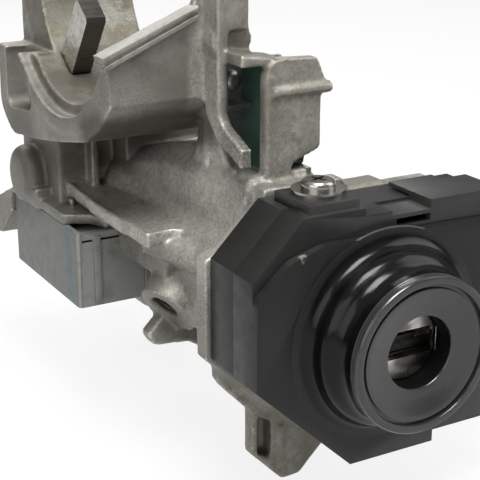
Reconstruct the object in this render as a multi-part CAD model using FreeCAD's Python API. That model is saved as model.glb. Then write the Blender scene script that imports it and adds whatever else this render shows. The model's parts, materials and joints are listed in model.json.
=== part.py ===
import FreeCAD, Part
import math
import os

# Ignition switch with steering lock, immobiliser housing and key interlock.
# Millimetres. The key axis is the Y axis: the key enters along +Y at x = 0, z = 0,
# and y = 0 is the front plane of the nose ring. +X is to the driver's right, +Z is up.
# The steering column crosses above and behind, along X.

V = FreeCAD.Vector

# Clearances shared by all fits
RUN = 0.05            # radial, turning and sliding fits
LOOSE = 0.3           # parts that only pass each other
OVER = 1.0            # how far a cutting tool runs past a face

# Nose and keyhole
RING_R = 17.5
RING_LEN = 2.2
FACE_R = 14.8
FACE_RECESS = 0.5
KEYHOLE_R = 8.35
KEYHOLE_LIP_Y = 2.6
BEZEL_TUBE_WALL = 1.2
NECK_R = 16.9
SHOULDER_R = 18.6
NOSE_COLLAR_R = 20.0
FLARE_R = 24.0
NOSE_BORE_R = 15.7

# Immobiliser housing
FACE_Y = 14.0
BAND_Y = 16.0
SPLIT_Y = 24.0
SHELL_END_Y = 34.5
SHELL_WALL = 2.0
LEFT_X = -32.4
RIGHT_X = 36.0
TOP_Z = 28.6
MID_TOP_Z = 26.9
MID_TOP_X = -5.0
TONGUE_Z = 25.9
TONGUE_X = (2.0, 12.0)
BLOCK_TOP_Z = 28.0
BOTTOM_Z = -29.5
BOTTOM_STEP_Z = -26.7
BOTTOM_STEP_X = 14.0
CHAMFER_LOW_Z = -6.9
CHAMFER_LOW_X = -8.5
CHAMFER_TOP_Z = 16.7
CHAMFER_TOP_X = -20.5
SPLIT_STEP = 0.35
PAD_TOP_Z = 30.4
PAD_X = (-18.0, -5.6)
PAD_Y = (17.6, 31.6)
SOCKET_X = 45.0
SOCKET_Z = (-12.0, 8.0)
SOCKET_WALL = 1.4
PIN_SIDE = 0.64

# Coil and board inside the housing
COIL_Y = (6.0, 12.5)
BOARD_Y = 20.6
BOARD_T = 1.6
BOARD_X = (-8.0, 24.0)
BOARD_Z = (-23.0, -13.0)

# Screw that holds the housing to the casting
SCREW_X = -10.6
SCREW_Y = 26.0
SCREW_R = 2.0
SCREW_HEAD_R = 3.75
SCREW_HEAD_H = 2.0
SCREW_LEN = 14.0
WASHER_R = 5.9
WASHER_T = 1.0

# Key cylinder
SLEEVE_R = 11.8
SLEEVE_FRONT_Y = 5.0
SLEEVE_END_Y = 46.0
PLUG_R = 7.6
PLUG_FACE_Y = 5.6
PLUG_END_Y = 44.0
PLUG_TAIL_R = 5.0
PLUG_TAIL_END_Y = 47.9
CLIP_GROOVE_R = 4.25
CLIP_R = 8.8
CLIP_T = 0.8
SLOT_W = 11.7
SLOT_H = 5.5
SLOT_DEPTH = 7.2
BLADE_W = 8.4
BLADE_H = 2.6
WAFER_COUNT = 6
WAFER_FIRST_Y = 15.5
WAFER_PITCH = 4.4
WAFER_T = 1.0
WAFER_W = 13.5
WAFER_H = 6.0
WAFER_SHIFT = 0.15
WAFER_SPRING_Z = 4.3
WAFER_SPRING_ROOM = 0.7
WAFER_SPRING_R = 0.45
GROOVE_R = 9.4
GROOVE_H = 6.6
SHUTTER_T = 0.8
SHUTTER_W = 10.6
SHUTTER_H = 4.6
SHUTTER_PIN_R = 0.5
SHUTTER_Y = 8.0
SHUTTER_SPRING_X = 3.2
PIN_Y = 40.5
PIN_Z = -9.6
PIN_R = 1.2
PIN_HALF_LEN = 13.6

# Tail shaft, collar and spiral cam
SHAFT_R = 3.4
SHAFT_FLAT = 2.7         # distance of the flat from the axis
COLLAR_Y = (48.0, 52.0)
COLLAR_R = 10.5
COLLAR_GROOVE_R = 7.0
TONGUE_W = 6.0
TONGUE_T = 2.4
CAM_Y = (103.5, 118.5)
CAM_BASE_R = 5.0
TURN_DEG = 110.0
BOLT_TRAVEL = 8.0

# Steering column saddle
COLUMN_R = 28.0
COLUMN_CUT = 160.0
COLUMN_Y = 85.0
COLUMN_Z = 70.0
SADDLE_X = (-46.0, -13.0)
SADDLE_FRONT_Y = 55.0
SADDLE_BACK_Y = 126.0
CAP_HOLE_R = 2.1
CAP_HOLE_X = -17.5
CAP_HOLE_OFFSET = 32.0
CAP_HOLE_DEPTH = 12.0
CAP_LUG_R = 4.6

# Lock bolt, which slides in the plane x = BOLT_X
BOLT_X = -33.5
BOLT_W = 5.0
BOLT_H = 7.6
BOLT_TIP = 9.5        # distance of the tip from the column axis when locked
BOLT_FOOT = 50.0      # distance of the foot from the column axis when locked
SLIDE_Y = 0.6         # the way out of the column, as a unit vector
SLIDE_Z = -0.8

# Bolt carrier
CARRIER_Y = (105.0, 111.0)
CARRIER_WINDOW_X = (-7.0, 12.6)
CARRIER_WINDOW_TOP = 12.6
CARRIER_BAR = 3.2
CAM_GAP = 0.3
ARM_Z = (0.0, 6.0)
LEG_HALF_W = 3.5
LEG_ROOM = 0.7
SPRING_X = -20.0
SPRING_R = 2.2
SPRING_WIRE = 0.7
SPRING_POCKET_R = 2.9

# Casting
FLANGE_Y = (35.0, 39.5)
BARREL_R = 17.0
PEDESTAL_X = -24.0
TOWER_Y = 102.4
TOWER_WALL = 5.6
MOUND_RIGHT_X = -4.0
COLUMN_RIGHT_X = 2.0
MOUND_SECTIONS = (   # y, then x and z of the foot, of the rounded side, and of the top
    (40.5, -21.8, 19.6, -20.4, 26.5, -19.5, 30.6),
    (52.0, -23.0, 18.6, -21.2, 26.8, -19.5, 31.4),
    (61.0, -23.2, 17.6, -21.6, 27.0, -18.6, 32.2),
    (70.0, -23.4, 16.8, -21.4, 26.6, -16.8, 32.4),
    (82.0, -24.4, 16.2, -22.0, 25.6, -17.4, 29.6),
    (91.0, -25.6, 16.0, -23.6, 23.6, -19.4, 27.0),
    (100.0, -27.0, 15.9, -25.4, 20.8, -21.4, 23.6),
    (110.0, -28.0, 15.8, -27.0, 17.4, -23.6, 19.4),
)
FRONT_SECTIONS = (   # y, side x low down, side x at the rim, rim z, x and z where the mound begins
    (39.0, -28.6, -31.0, 15.0, -21.6, 20.0),
    (48.0, -27.4, -28.8, 14.6, -22.4, 18.4),
    (57.0, -28.6, -32.6, 13.4, -23.0, 16.6),
    (64.0, -29.6, -34.6, 12.6, -23.2, 15.4),
)
REAR_LUG_X = (-43.5, -35.0)
REAR_LUG_Y = 141.0
REAR_LUG_HOLE_R = 2.6
CAST_BORE_END_Y = 53.5
BARREL_END_Y = 121.0
CHAMBER_Y = 101.5
CHAMBER_HALF = 17.4
CHAMBER_WALL = 3.0
DECK_LEFT_X = -31.5
DECK_Z = 15.8
DECK_FRONT_Y = 60.0
DECK_EDGE = (            # x, y of the deck's outline, from the front corner round to the back
    (-36.9, 55.6, 0.8),
    (-30.6, 56.4, 3.0),
    (-25.0, 52.6, 2.0),
    (-21.6, 51.4),
    (-20.0, 114.0),
    (-36.0, 114.0, 1.0),
    (-37.9, 78.0, 20.0),
)
DECK_PLATE_T = 2.6
DECK_RIM = 0.7
POST_X = (-22.3, -19.6)
PLATE_Y = (40.0, 43.0)
BOSS_POINT = (-30.9, 60.0, -4.0)
BOSS_DIR = (-0.75, -0.29, -0.59)
BOSS_SIDE = (0.55, -0.15, -0.62)
BOSS_R = 7.4
BOSS_SHIFT = 1.3        # of the boss's outline from its hole, towards the lower right
BOSS_LEN = 14.0
BOSS_HOLE_R = 3.0
BOSS_HOLE_DEPTH = 10.0
CLAW_Y = (62.2, 66.2)
LUG_X = (-16.4, -7.4)
LUG_Y = 22.0
LUG_Z = (15.0, 26.3)

# Cover over the bolt mechanism
COVER_LEFT_X = -42.5
COVER_RIGHT_X = -24.6
COVER_Y = (84.0, 128.0)
COVER_Z = (-10.4, 9.0)
COVER_WALL = 1.6
COVER_TAB_Z = 7.4
COVER_RIVET_R = 1.1
COVER_RIVET_X = -36.5
COVER_RIVET_Y = (100.6, 125.4)
COVER_RIVET_HEAD_R = 2.0
COVER_RIVET_HEAD_T = 0.8

# Rear electrical switch
SWITCH_R = 16.0
SWITCH_CORNER_R = 6.0
SWITCH_FLANGE_T = 3.0
SWITCH_CAP_Y = (135.0, 138.0)
SWITCH_SOCKET_DEPTH = 11.0
SWITCH_SOCKET_Z = (-28.0, -13.0)
SWITCH_SOCKET_HALF = 12.0
SWITCH_WALL = 2.0
SWITCH_EAR_X = 23.5
SWITCH_EAR_R = 4.5
SWITCH_SCREW_R = 1.9
SWITCH_SCREW_LEN = 7.0
ROTOR_R = 11.0
ROTOR_Y = (125.0, 130.0)
TERMINAL_X = (-7.5, -4.5, -1.5, 1.5, 4.5, 7.5)
TERMINAL_W = 1.6
TERMINAL_T = 0.8
TERMINAL_GAP = 0.27

# Key interlock solenoid
PLUNGER_X = -6.4
PLUNGER_Y = 50.0
PLUNGER_R = 1.8
PLUNGER_TIP_Z = 10.4
PLUNGER_TOP_Z = 50.0
PLUNGER_HEAD_R = 2.6
PLUNGER_WELL_Z = (42.0, 51.0)
INTERLOCK_X = (-12.0, -1.4)
FRAME_PLATE_Y = (56.4, 57.8)
FRAME_FLOOR_Z = 29.2
FRAME_T = 1.2

# Key-in switch on the right of the cylinder
SENSOR_Y = 38.3
SENSOR_X = (18.0, 29.0)
SENSOR_HALF_Y = 3.0
SENSOR_HALF_Z = 4.5
SENSOR_PIN_R = 1.2
SENSOR_PIN_X = (9.8, 22.0)


def box(low, high):
    """Solid box between two opposite corners."""
    size = [high[i] - low[i] for i in range(3)]
    return Part.makeBox(size[0], size[1], size[2], V(*low))


def rod(radius, start, direction, length):
    """Solid cylinder from a start point along a direction."""
    return Part.makeCylinder(radius, length, V(*start), V(*direction))


def rod_y(radius, y0, y1, x=0.0, z=0.0):
    return rod(radius, (x, y0, z), (0, 1, 0), y1 - y0)


def rounded_wire(points, place):
    """Closed wire through (u, v[, radius]) corners, where a radius rounds its corner."""
    count = len(points)
    spans = []
    for i, corner in enumerate(points):
        here = V(corner[0], corner[1], 0)
        radius = corner[2] if len(corner) > 2 else 0.0
        if radius <= 0.0:
            spans.append((here, None, here))
            continue
        back = V(points[i - 1][0], points[i - 1][1], 0) - here
        ahead = V(points[(i + 1) % count][0], points[(i + 1) % count][1], 0) - here
        back.normalize()
        ahead.normalize()
        half = math.acos(max(-1.0, min(1.0, back.dot(ahead)))) / 2
        cut = radius / math.tan(half)
        toward = back + ahead
        toward.normalize()
        middle = here + toward * (radius / math.sin(half) - radius)
        spans.append((here + back * cut, middle, here + ahead * cut))
    edges = []
    for i, (first, middle, last) in enumerate(spans):
        if middle is not None:
            edges.append(Part.Arc(place(first), place(middle), place(last)).toShape())
        following = spans[(i + 1) % count][0]
        if (following - last).Length > 1e-6:
            edges.append(Part.makeLine(place(last), place(following)))
    return Part.Wire(edges)


def prism_y(points, y0, y1):
    """Prism along Y from (x, z[, radius]) corners."""
    wire = rounded_wire(points, lambda p: V(p.x, y0, p.y))
    return Part.Face(wire).extrude(V(0, y1 - y0, 0))


def prism_x(points, x0, x1):
    """Prism along X from (y, z[, radius]) corners."""
    wire = rounded_wire(points, lambda p: V(x0, p.x, p.y))
    return Part.Face(wire).extrude(V(x1 - x0, 0, 0))


def prism_z(points, z0, z1):
    """Prism along Z from (x, y[, radius]) corners."""
    wire = rounded_wire(points, lambda p: V(p.x, p.y, z0))
    return Part.Face(wire).extrude(V(0, 0, z1 - z0))


def revolve_y(points):
    """Solid of revolution about the key axis from (radius, y[, corner radius]) points."""
    wire = rounded_wire(points, lambda p: V(p.x, p.y, 0))
    return Part.Face(wire).revolve(V(0, 0, 0), V(0, 1, 0), 360)


def coil(start, direction, radius, wire, length, turns):
    """Compression spring of square wire, from a start point along a direction."""
    height = length - wire
    helix = Part.makeHelix(height / turns, height, radius)
    low = V(radius - wire / 2, 0, -wire / 2)
    corners = [low, low + V(wire, 0, 0), low + V(wire, 0, wire), low + V(0, 0, wire)]
    profile = Part.makePolygon(corners + [corners[0]])
    spring = Part.Wire(helix.Edges).makePipeShell([profile], True, True)
    spring.translate(V(0, 0, wire / 2))
    turn = FreeCAD.Rotation(V(0, 0, 1), V(*direction))
    spring.Placement = FreeCAD.Placement(V(*start), turn).multiply(spring.Placement)
    return spring


def fuse(*solids):
    """One cleaned solid from several that meet."""
    result = solids[0].multiFuse(list(solids[1:]))
    return result.removeSplitter()


def cut_all(solid, tools):
    """A solid with several tools taken away."""
    return solid.cut(Part.makeCompound(tools)) if tools else solid


def slide_point(distance, offset=0.0):
    """(y, z) on the bolt's line, measured from the column axis down and back."""
    y = COLUMN_Y + SLIDE_Y * distance - SLIDE_Z * offset
    z = COLUMN_Z + SLIDE_Z * distance + SLIDE_Y * offset
    return (y, z)


def bolt_bar(first, last, half_height, x0, x1):
    """Bar along the bolt's line, between two distances from the column axis."""
    points = [
        slide_point(first, -half_height),
        slide_point(first, half_height),
        slide_point(last, half_height),
        slide_point(last, -half_height),
    ]
    return prism_x(points, x0, x1)


# Immobiliser housing

def shell_outline(inset):
    """Outline of the black housing behind its front plate, as (x, z) corners."""
    slope = 0.4 * inset
    return [
        (LEFT_X + inset, CHAMFER_LOW_Z + slope),
        (CHAMFER_LOW_X + slope, BOTTOM_Z + inset),
        (BOTTOM_STEP_X - inset, BOTTOM_Z + inset),
        (BOTTOM_STEP_X - inset, BOTTOM_STEP_Z + inset),
        (RIGHT_X - 6.0 - slope, BOTTOM_STEP_Z + inset),
        (RIGHT_X - inset, BOTTOM_STEP_Z + 6.0 + slope),
        (RIGHT_X - inset, MID_TOP_Z - 5.0 - slope),
        (RIGHT_X - 5.0 - slope, MID_TOP_Z - inset),
        (MID_TOP_X - inset, MID_TOP_Z - inset),
        (MID_TOP_X - inset, TOP_Z - inset),
        (CHAMFER_TOP_X + slope, TOP_Z - inset),
        (LEFT_X + inset, CHAMFER_TOP_Z - slope),
    ]


def front_plate_outline():
    """Outline of the plate that stands proud in front, as (x, z) corners."""
    return [
        (LEFT_X, CHAMFER_LOW_Z),
        (CHAMFER_LOW_X, BOTTOM_Z),
        (BOTTOM_STEP_X, BOTTOM_Z),
        (BOTTOM_STEP_X, BOTTOM_STEP_Z),
        (RIGHT_X - 6.0, BOTTOM_STEP_Z),
        (RIGHT_X, BOTTOM_STEP_Z + 6.0),
        (RIGHT_X, 17.6, 4.0),
        (RIGHT_X - 5.0, 22.0, 4.0),
        (-16.0, 22.8, 8.0),
        (-24.5, 20.4, 6.0),
        (LEFT_X, 13.4, 3.0),
    ]


def nose_profile():
    """Section of the nose, from the bezel seat back to the front plate."""
    return [
        (NOSE_BORE_R, RING_LEN),
        (NECK_R, RING_LEN),
        (NECK_R, 5.6, 1.2),
        (SHOULDER_R, 6.6),
        (SHOULDER_R + 0.2, 8.4),
        (NOSE_COLLAR_R, 9.2),
        (NOSE_COLLAR_R, 11.6, 1.6),
        (FLARE_R, FACE_Y),
        (FLARE_R, FACE_Y + 0.5),
        (NOSE_BORE_R, FACE_Y + 0.5),
    ]


def make_front_shell():
    plate = prism_y(front_plate_outline(), FACE_Y, BAND_Y)
    skirt = prism_y(shell_outline(0.0), BAND_Y, SPLIT_Y)
    nose = revolve_y(nose_profile())
    solid = fuse(plate, skirt, nose)
    hollow = prism_y(shell_outline(SHELL_WALL), BAND_Y + SHELL_WALL, SPLIT_Y + OVER)
    bore = rod_y(NOSE_BORE_R, -OVER, BAND_Y + SHELL_WALL + OVER)
    step = box((TONGUE_X[0] - 0.2, BAND_Y - 0.1, TONGUE_Z), (TONGUE_X[1], SPLIT_Y + OVER, MID_TOP_Z + OVER))
    solid = cut_all(solid, [hollow, bore, step])
    pad = box((PAD_X[0], PAD_Y[0], TOP_Z - SHELL_WALL), (PAD_X[1], PAD_Y[1], PAD_TOP_Z))
    block = box((TONGUE_X[1], BAND_Y, MID_TOP_Z - 0.6), (RIGHT_X - 5.0, SPLIT_Y, BLOCK_TOP_Z))
    near_lip = box((TONGUE_X[1], SPLIT_Y, MID_TOP_Z + 0.1), (RIGHT_X - 5.0, 28.0, BLOCK_TOP_Z))
    far_lip = box((TONGUE_X[1], SPLIT_Y, MID_TOP_Z + 0.1), (RIGHT_X - 12.0, 31.6, BLOCK_TOP_Z))
    block = fuse(block, near_lip, far_lip)
    solid = fuse(solid, pad, block)
    slot = box(
        (TONGUE_X[0] + 1.0, BAND_Y - OVER, TONGUE_Z - 2.6),
        (TONGUE_X[1], BAND_Y + 5.0, TONGUE_Z - 0.9),
    )
    screw_hole = rod(SCREW_R + 0.2, (SCREW_X, SCREW_Y, LUG_Z[0]), (0, 0, 1), 2 * SCREW_LEN)
    return cut_all(solid, [slot, screw_hole])


def make_rear_shell():
    outer = prism_y(shell_outline(SPLIT_STEP), SPLIT_Y, SHELL_END_Y)
    inner = prism_y(shell_outline(SHELL_WALL), SPLIT_Y - OVER, SHELL_END_Y - SHELL_WALL)
    socket = box(
        (RIGHT_X - SHELL_WALL, SPLIT_Y, SOCKET_Z[0]),
        (SOCKET_X, SHELL_END_Y - 0.5, SOCKET_Z[1]),
    )
    well = box(
        (RIGHT_X + 1.0, SPLIT_Y + SOCKET_WALL, SOCKET_Z[0] + SOCKET_WALL),
        (SOCKET_X + OVER, SHELL_END_Y - 0.5 - SOCKET_WALL, SOCKET_Z[1] - SOCKET_WALL),
    )
    solid = fuse(outer.cut(inner), socket)
    pad_notch = box(
        (PAD_X[0] - 0.2, SPLIT_Y - OVER, TOP_Z - SHELL_WALL - 0.2),
        (PAD_X[1] + 0.2, PAD_Y[1] + 0.2, PAD_TOP_Z),
    )
    lug_notch = box(
        (LUG_X[0] - LOOSE, SPLIT_Y - OVER, LUG_Z[0] - LOOSE),
        (LUG_X[1] + LOOSE, SHELL_END_Y + OVER, LUG_Z[1] + LOOSE),
    )
    sleeve_hole = rod_y(SLEEVE_R + LOOSE, SPLIT_Y, SHELL_END_Y + OVER)
    pin_holes = [box((x0 - LOOSE, y0 - 0.02, z0 - 0.02), (x1, y1 + 0.02, z1 + 0.02))
                 for (x0, y0, z0), (x1, y1, z1) in socket_pin_corners()]
    return cut_all(solid, [well, pad_notch, lug_notch, sleeve_hole] + pin_holes)


def make_nose_bezel():
    """Ring with a fine groove, a dished face and the keyhole tube behind it."""
    tube_r = KEYHOLE_R + BEZEL_TUBE_WALL
    return revolve_y([
        (KEYHOLE_R, KEYHOLE_LIP_Y, 0.3),
        (10.4, 1.5, 3.0),
        (12.8, 0.7, 2.0),
        (FACE_R, FACE_RECESS),
        (FACE_R, 0.0),
        (RING_R - 0.6, 0.0),
        (RING_R, 0.5),
        (RING_R, 1.0),
        (RING_R - 0.3, 1.15),
        (RING_R, 1.3),
        (RING_R, RING_LEN),
        (NOSE_BORE_R - 0.1, RING_LEN),
        (NOSE_BORE_R - 0.1, 4.2),
        (tube_r, 4.2),
        (tube_r, SLEEVE_FRONT_Y),
        (KEYHOLE_R, SLEEVE_FRONT_Y),
    ])


def make_housing_screw():
    """Pan head with a cross recess, and a plain shank."""
    base = PAD_TOP_Z + WASHER_T
    top = base + SCREW_HEAD_H
    head = rod(SCREW_HEAD_R, (SCREW_X, SCREW_Y, base), (0, 0, 1), SCREW_HEAD_H)
    rim = [edge for edge in head.Edges if edge.CenterOfMass.z > top - 0.01]
    head = head.makeFillet(SCREW_HEAD_H * 0.6, rim)
    shank = rod(SCREW_R - RUN, (SCREW_X, SCREW_Y, base - SCREW_LEN), (0, 0, 1), SCREW_LEN)
    arms = []
    for angle in (20, 110):
        arm = box((-1.9, -0.4, 0.0), (1.9, 0.4, 2.0))
        arm.rotate(V(0, 0, 0), V(0, 0, 1), angle)
        arm.translate(V(SCREW_X, SCREW_Y, top - 1.2))
        arms.append(arm)
    return fuse(head, shank).cut(fuse(*arms))


def make_screw_washer():
    disc = rod(WASHER_R, (SCREW_X, SCREW_Y, PAD_TOP_Z), (0, 0, 1), WASHER_T)
    return disc.cut(rod(SCREW_R + 0.2, (SCREW_X, SCREW_Y, PAD_TOP_Z - OVER), (0, 0, 1), 4.0))


def make_antenna_coil():
    """Bobbin with its winding, round the front of the cylinder."""
    inner = SLEEVE_R + RUN
    outer = NOSE_BORE_R - RUN
    return revolve_y([
        (inner, COIL_Y[0]),
        (outer, COIL_Y[0]),
        (outer, COIL_Y[0] + 1.0),
        (outer - 0.5, COIL_Y[0] + 1.2),
        (outer - 0.5, COIL_Y[1] - 1.2),
        (outer, COIL_Y[1] - 1.0),
        (outer, COIL_Y[1]),
        (inner, COIL_Y[1]),
    ])


def make_circuit_board():
    board = box((BOARD_X[0], BOARD_Y, BOARD_Z[0]), (BOARD_X[1], BOARD_Y + BOARD_T, BOARD_Z[1]))
    chips = [box((x - w, BOARD_Y - 1.4, -21.5), (x + w, BOARD_Y, -16.5))
             for x, w in ((-2.0, 4.0), (7.0, 2.5), (16.0, 3.5))]
    pillar_x = (BOARD_X[0] + 2.0, BOARD_X[1] - 2.0)
    pillars = [rod_y(1.5, BAND_Y + SHELL_WALL, BOARD_Y, x, -14.5) for x in pillar_x]
    return fuse(board, *chips, *pillars)


def socket_pin_corners():
    """Opposite corners of each contact pin of the immobiliser socket."""
    corners = []
    for row in range(2):
        for column in range(4):
            y = SPLIT_Y + 3.6 + 2.6 * row
            z = SOCKET_Z[0] + 4.0 + 4.0 * column
            half = PIN_SIDE / 2
            corners.append(((RIGHT_X - 5.0, y - half, z - half), (SOCKET_X - 5.5, y + half, z + half)))
    return corners


def make_socket_pins():
    return Part.makeCompound([box(low, high) for low, high in socket_pin_corners()])


# Key cylinder

def make_cylinder_sleeve():
    body = rod_y(SLEEVE_R, SLEEVE_FRONT_Y, SLEEVE_END_Y)
    bore = rod_y(PLUG_R + RUN, SLEEVE_FRONT_Y - OVER, SLEEVE_END_Y + OVER)
    start = WAFER_FIRST_Y - 1.5
    end = WAFER_FIRST_Y + WAFER_PITCH * (WAFER_COUNT - 1) + 2.5
    grooves = box((-GROOVE_R, start, -GROOVE_H / 2), (GROOVE_R, end, GROOVE_H / 2))
    sensor_hole = rod(SENSOR_PIN_R + RUN, (GROOVE_R - 0.5, SENSOR_Y, 0), (1, 0, 0), 4.0)
    pin_hole = rod(PIN_R + RUN, (-PIN_HALF_LEN - OVER, PIN_Y, PIN_Z), (1, 0, 0), 2 * (PIN_HALF_LEN + OVER))
    return cut_all(body, [bore, grooves, sensor_hole, pin_hole])


def wafer_y(index):
    return WAFER_FIRST_Y + WAFER_PITCH * index


def wafer_shift(index):
    """Each wafer rests a little to one side, in turn."""
    return WAFER_SHIFT if index % 2 == 0 else -WAFER_SHIFT


def make_key_plug():
    body = rod_y(PLUG_R, PLUG_FACE_Y, PLUG_END_Y)
    tail = rod_y(PLUG_TAIL_R, PLUG_END_Y - 0.5, PLUG_TAIL_END_Y)
    solid = fuse(body, tail)
    slot = box(
        (-SLOT_W / 2, PLUG_FACE_Y - OVER, -SLOT_H / 2),
        (SLOT_W / 2, PLUG_FACE_Y + SLOT_DEPTH, SLOT_H / 2),
    )
    keyway_end = wafer_y(WAFER_COUNT - 1) + 3.0
    keyway = box((-BLADE_W / 2, PLUG_FACE_Y, -BLADE_H / 2), (BLADE_W / 2, keyway_end, BLADE_H / 2))
    half_slot = WAFER_H / 2 + RUN
    pocket_top = WAFER_SPRING_Z + WAFER_SPRING_ROOM
    wafer_slots = []
    spring_pockets = []
    for i in range(WAFER_COUNT):
        y = wafer_y(i)
        wafer_slots.append(box((-GROOVE_R, y - RUN, -half_slot), (GROOVE_R, y + WAFER_T + RUN, half_slot)))
        spring_pockets.append(box((-5.6, y, WAFER_H / 2 - OVER), (5.6, y + WAFER_T, pocket_top)))
    pin_z = shutter_pin_z()
    hinge = rod(SHUTTER_PIN_R + RUN, (-SLOT_W / 2 - 1.0, SHUTTER_Y, pin_z), (1, 0, 0), SLOT_W + 2.0)
    nest_len = SLOT_W / 2 - SHUTTER_SPRING_X
    spring_nest = rod(1.1, (SHUTTER_SPRING_X - 0.1, SHUTTER_Y, pin_z), (1, 0, 0), nest_len)
    groove_y = SLEEVE_END_Y + RUN
    groove = rod_y(PLUG_TAIL_R + OVER, groove_y, groove_y + CLIP_T).cut(
        rod_y(CLIP_GROOVE_R, groove_y - OVER, groove_y + CLIP_T + OVER))
    drive = box((-TONGUE_W / 2 - RUN, PLUG_TAIL_END_Y - 2.6, -TONGUE_T / 2 - RUN),
                (TONGUE_W / 2 + RUN, PLUG_TAIL_END_Y + OVER, TONGUE_T / 2 + RUN))
    return cut_all(solid, [slot, keyway, hinge, spring_nest, groove, drive] + wafer_slots + spring_pockets)


def make_wafers():
    """Flat tumblers with a window for the blade, one in each slot."""
    wafers = []
    for i in range(WAFER_COUNT):
        x = wafer_shift(i)
        y = wafer_y(i)
        plate = prism_y(
            [
                (x - WAFER_W / 2, -WAFER_H / 2, 0.8),
                (x + WAFER_W / 2, -WAFER_H / 2, 0.8),
                (x + WAFER_W / 2, WAFER_H / 2, 0.8),
                (x - WAFER_W / 2, WAFER_H / 2, 0.8),
            ],
            y,
            y + WAFER_T,
        )
        window = box((x - 3.4, y - OVER, -1.5), (x + 3.4, y + WAFER_T + OVER, 1.5))
        wafers.append(plate.cut(window))
    return Part.makeCompound(wafers)


def shutter_pin_z():
    """Height of the flap's pin, just under the top of the slot."""
    return SLOT_H / 2 - SHUTTER_PIN_R - 0.15


def make_key_shutter():
    """Flap behind the key slot, hung on its own pin."""
    pin_z = shutter_pin_z()
    top = pin_z + SHUTTER_PIN_R
    flap = box((-SHUTTER_W / 2, SHUTTER_Y - SHUTTER_T / 2, top - SHUTTER_H),
               (SHUTTER_W / 2, SHUTTER_Y + SHUTTER_T / 2, top - 0.3))
    spring_room = box(
        (SHUTTER_SPRING_X - 0.1, SHUTTER_Y - 2.0, pin_z - 1.4),
        (SHUTTER_W, SHUTTER_Y + 2.0, top + OVER),
    )
    flap = flap.cut(spring_room)
    pin = rod(SHUTTER_PIN_R, (-SLOT_W / 2 - 0.8, SHUTTER_Y, pin_z), (1, 0, 0), SLOT_W + 1.6)
    return fuse(flap, pin)


def make_shutter_spring():
    """Small torsion spring round the shutter's pin."""
    pin_z = shutter_pin_z()
    return coil((SHUTTER_SPRING_X, SHUTTER_Y, pin_z), (1, 0, 0), SHUTTER_PIN_R + 0.2, 0.24, 1.9, 2)


def make_wafer_springs():
    """One small spring, drawn as a plain tube, over each wafer in a pocket of the plug."""
    springs = []
    for i in range(WAFER_COUNT):
        side = 1 if i % 2 == 0 else -1
        start = (side * 1.2, wafer_y(i) + WAFER_T / 2, WAFER_SPRING_Z)
        tube = rod(WAFER_SPRING_R, start, (side, 0, 0), 4.2)
        springs.append(tube.cut(rod(WAFER_SPRING_R / 2, start, (side, 0, 0), 4.2)))
    return Part.makeCompound(springs)


def make_plug_clip():
    """Snap ring in the groove of the plug's tail."""
    y = SLEEVE_END_Y + RUN
    ring = rod_y(CLIP_R, y, y + CLIP_T).cut(rod_y(CLIP_GROOVE_R, y - OVER, y + CLIP_T + OVER))
    mouth = box((-3.2, y - OVER, -CLIP_R - OVER), (3.2, y + CLIP_T + OVER, 0))
    return ring.cut(mouth)


def make_cylinder_pin():
    """Roll pin across the casting that keeps the sleeve in."""
    pin = rod(PIN_R, (-PIN_HALF_LEN, PIN_Y, PIN_Z), (1, 0, 0), 2 * PIN_HALF_LEN)
    return pin.cut(rod(PIN_R / 2, (-PIN_HALF_LEN - OVER, PIN_Y, PIN_Z), (1, 0, 0), 2 * (PIN_HALF_LEN + OVER)))


# Tail shaft, cam and lock bolt

def make_tail_shaft():
    shaft = rod_y(SHAFT_R, COLLAR_Y[0], ROTOR_Y[1])
    disc = rod_y(COLLAR_R, COLLAR_Y[0], COLLAR_Y[1])
    reach = box((-COLLAR_R - OVER, PLUNGER_Y - 2.2, -2.5), (0.5, PLUNGER_Y + 2.2, COLLAR_R + OVER))
    turned = reach.copy()
    turned.rotate(V(0, 0, 0), V(0, 1, 0), -TURN_DEG * 0.5)
    last = reach.copy()
    last.rotate(V(0, 0, 0), V(0, 1, 0), -TURN_DEG)
    keep = rod_y(COLLAR_GROOVE_R, COLLAR_Y[0] - OVER, COLLAR_Y[1] + OVER)
    groove = fuse(reach, turned, last).cut(keep)
    tongue = box(
        (-TONGUE_W / 2, PLUG_TAIL_END_Y - 2.3, -TONGUE_T / 2),
        (TONGUE_W / 2, COLLAR_Y[0] + 0.5, TONGUE_T / 2),
    )
    flat = box((SHAFT_FLAT, CAM_Y[0], -SHAFT_R), (SHAFT_R + OVER, ROTOR_Y[1] + OVER, SHAFT_R))
    return fuse(shaft, disc.cut(groove), tongue).cut(flat)


def cam_radius(angle_deg):
    """Radius of the spiral cam at an angle from straight down towards +X."""
    lift = -SLIDE_Z * BOLT_TRAVEL
    return CAM_BASE_R + lift * angle_deg / TURN_DEG


def cam_reach():
    """How far the cam reaches straight down at rest, by its flat-follower support."""
    steps = [i * 0.5 for i in range(0, 160)]
    return max(cam_radius(a) * math.cos(math.radians(a)) for a in steps)


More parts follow.
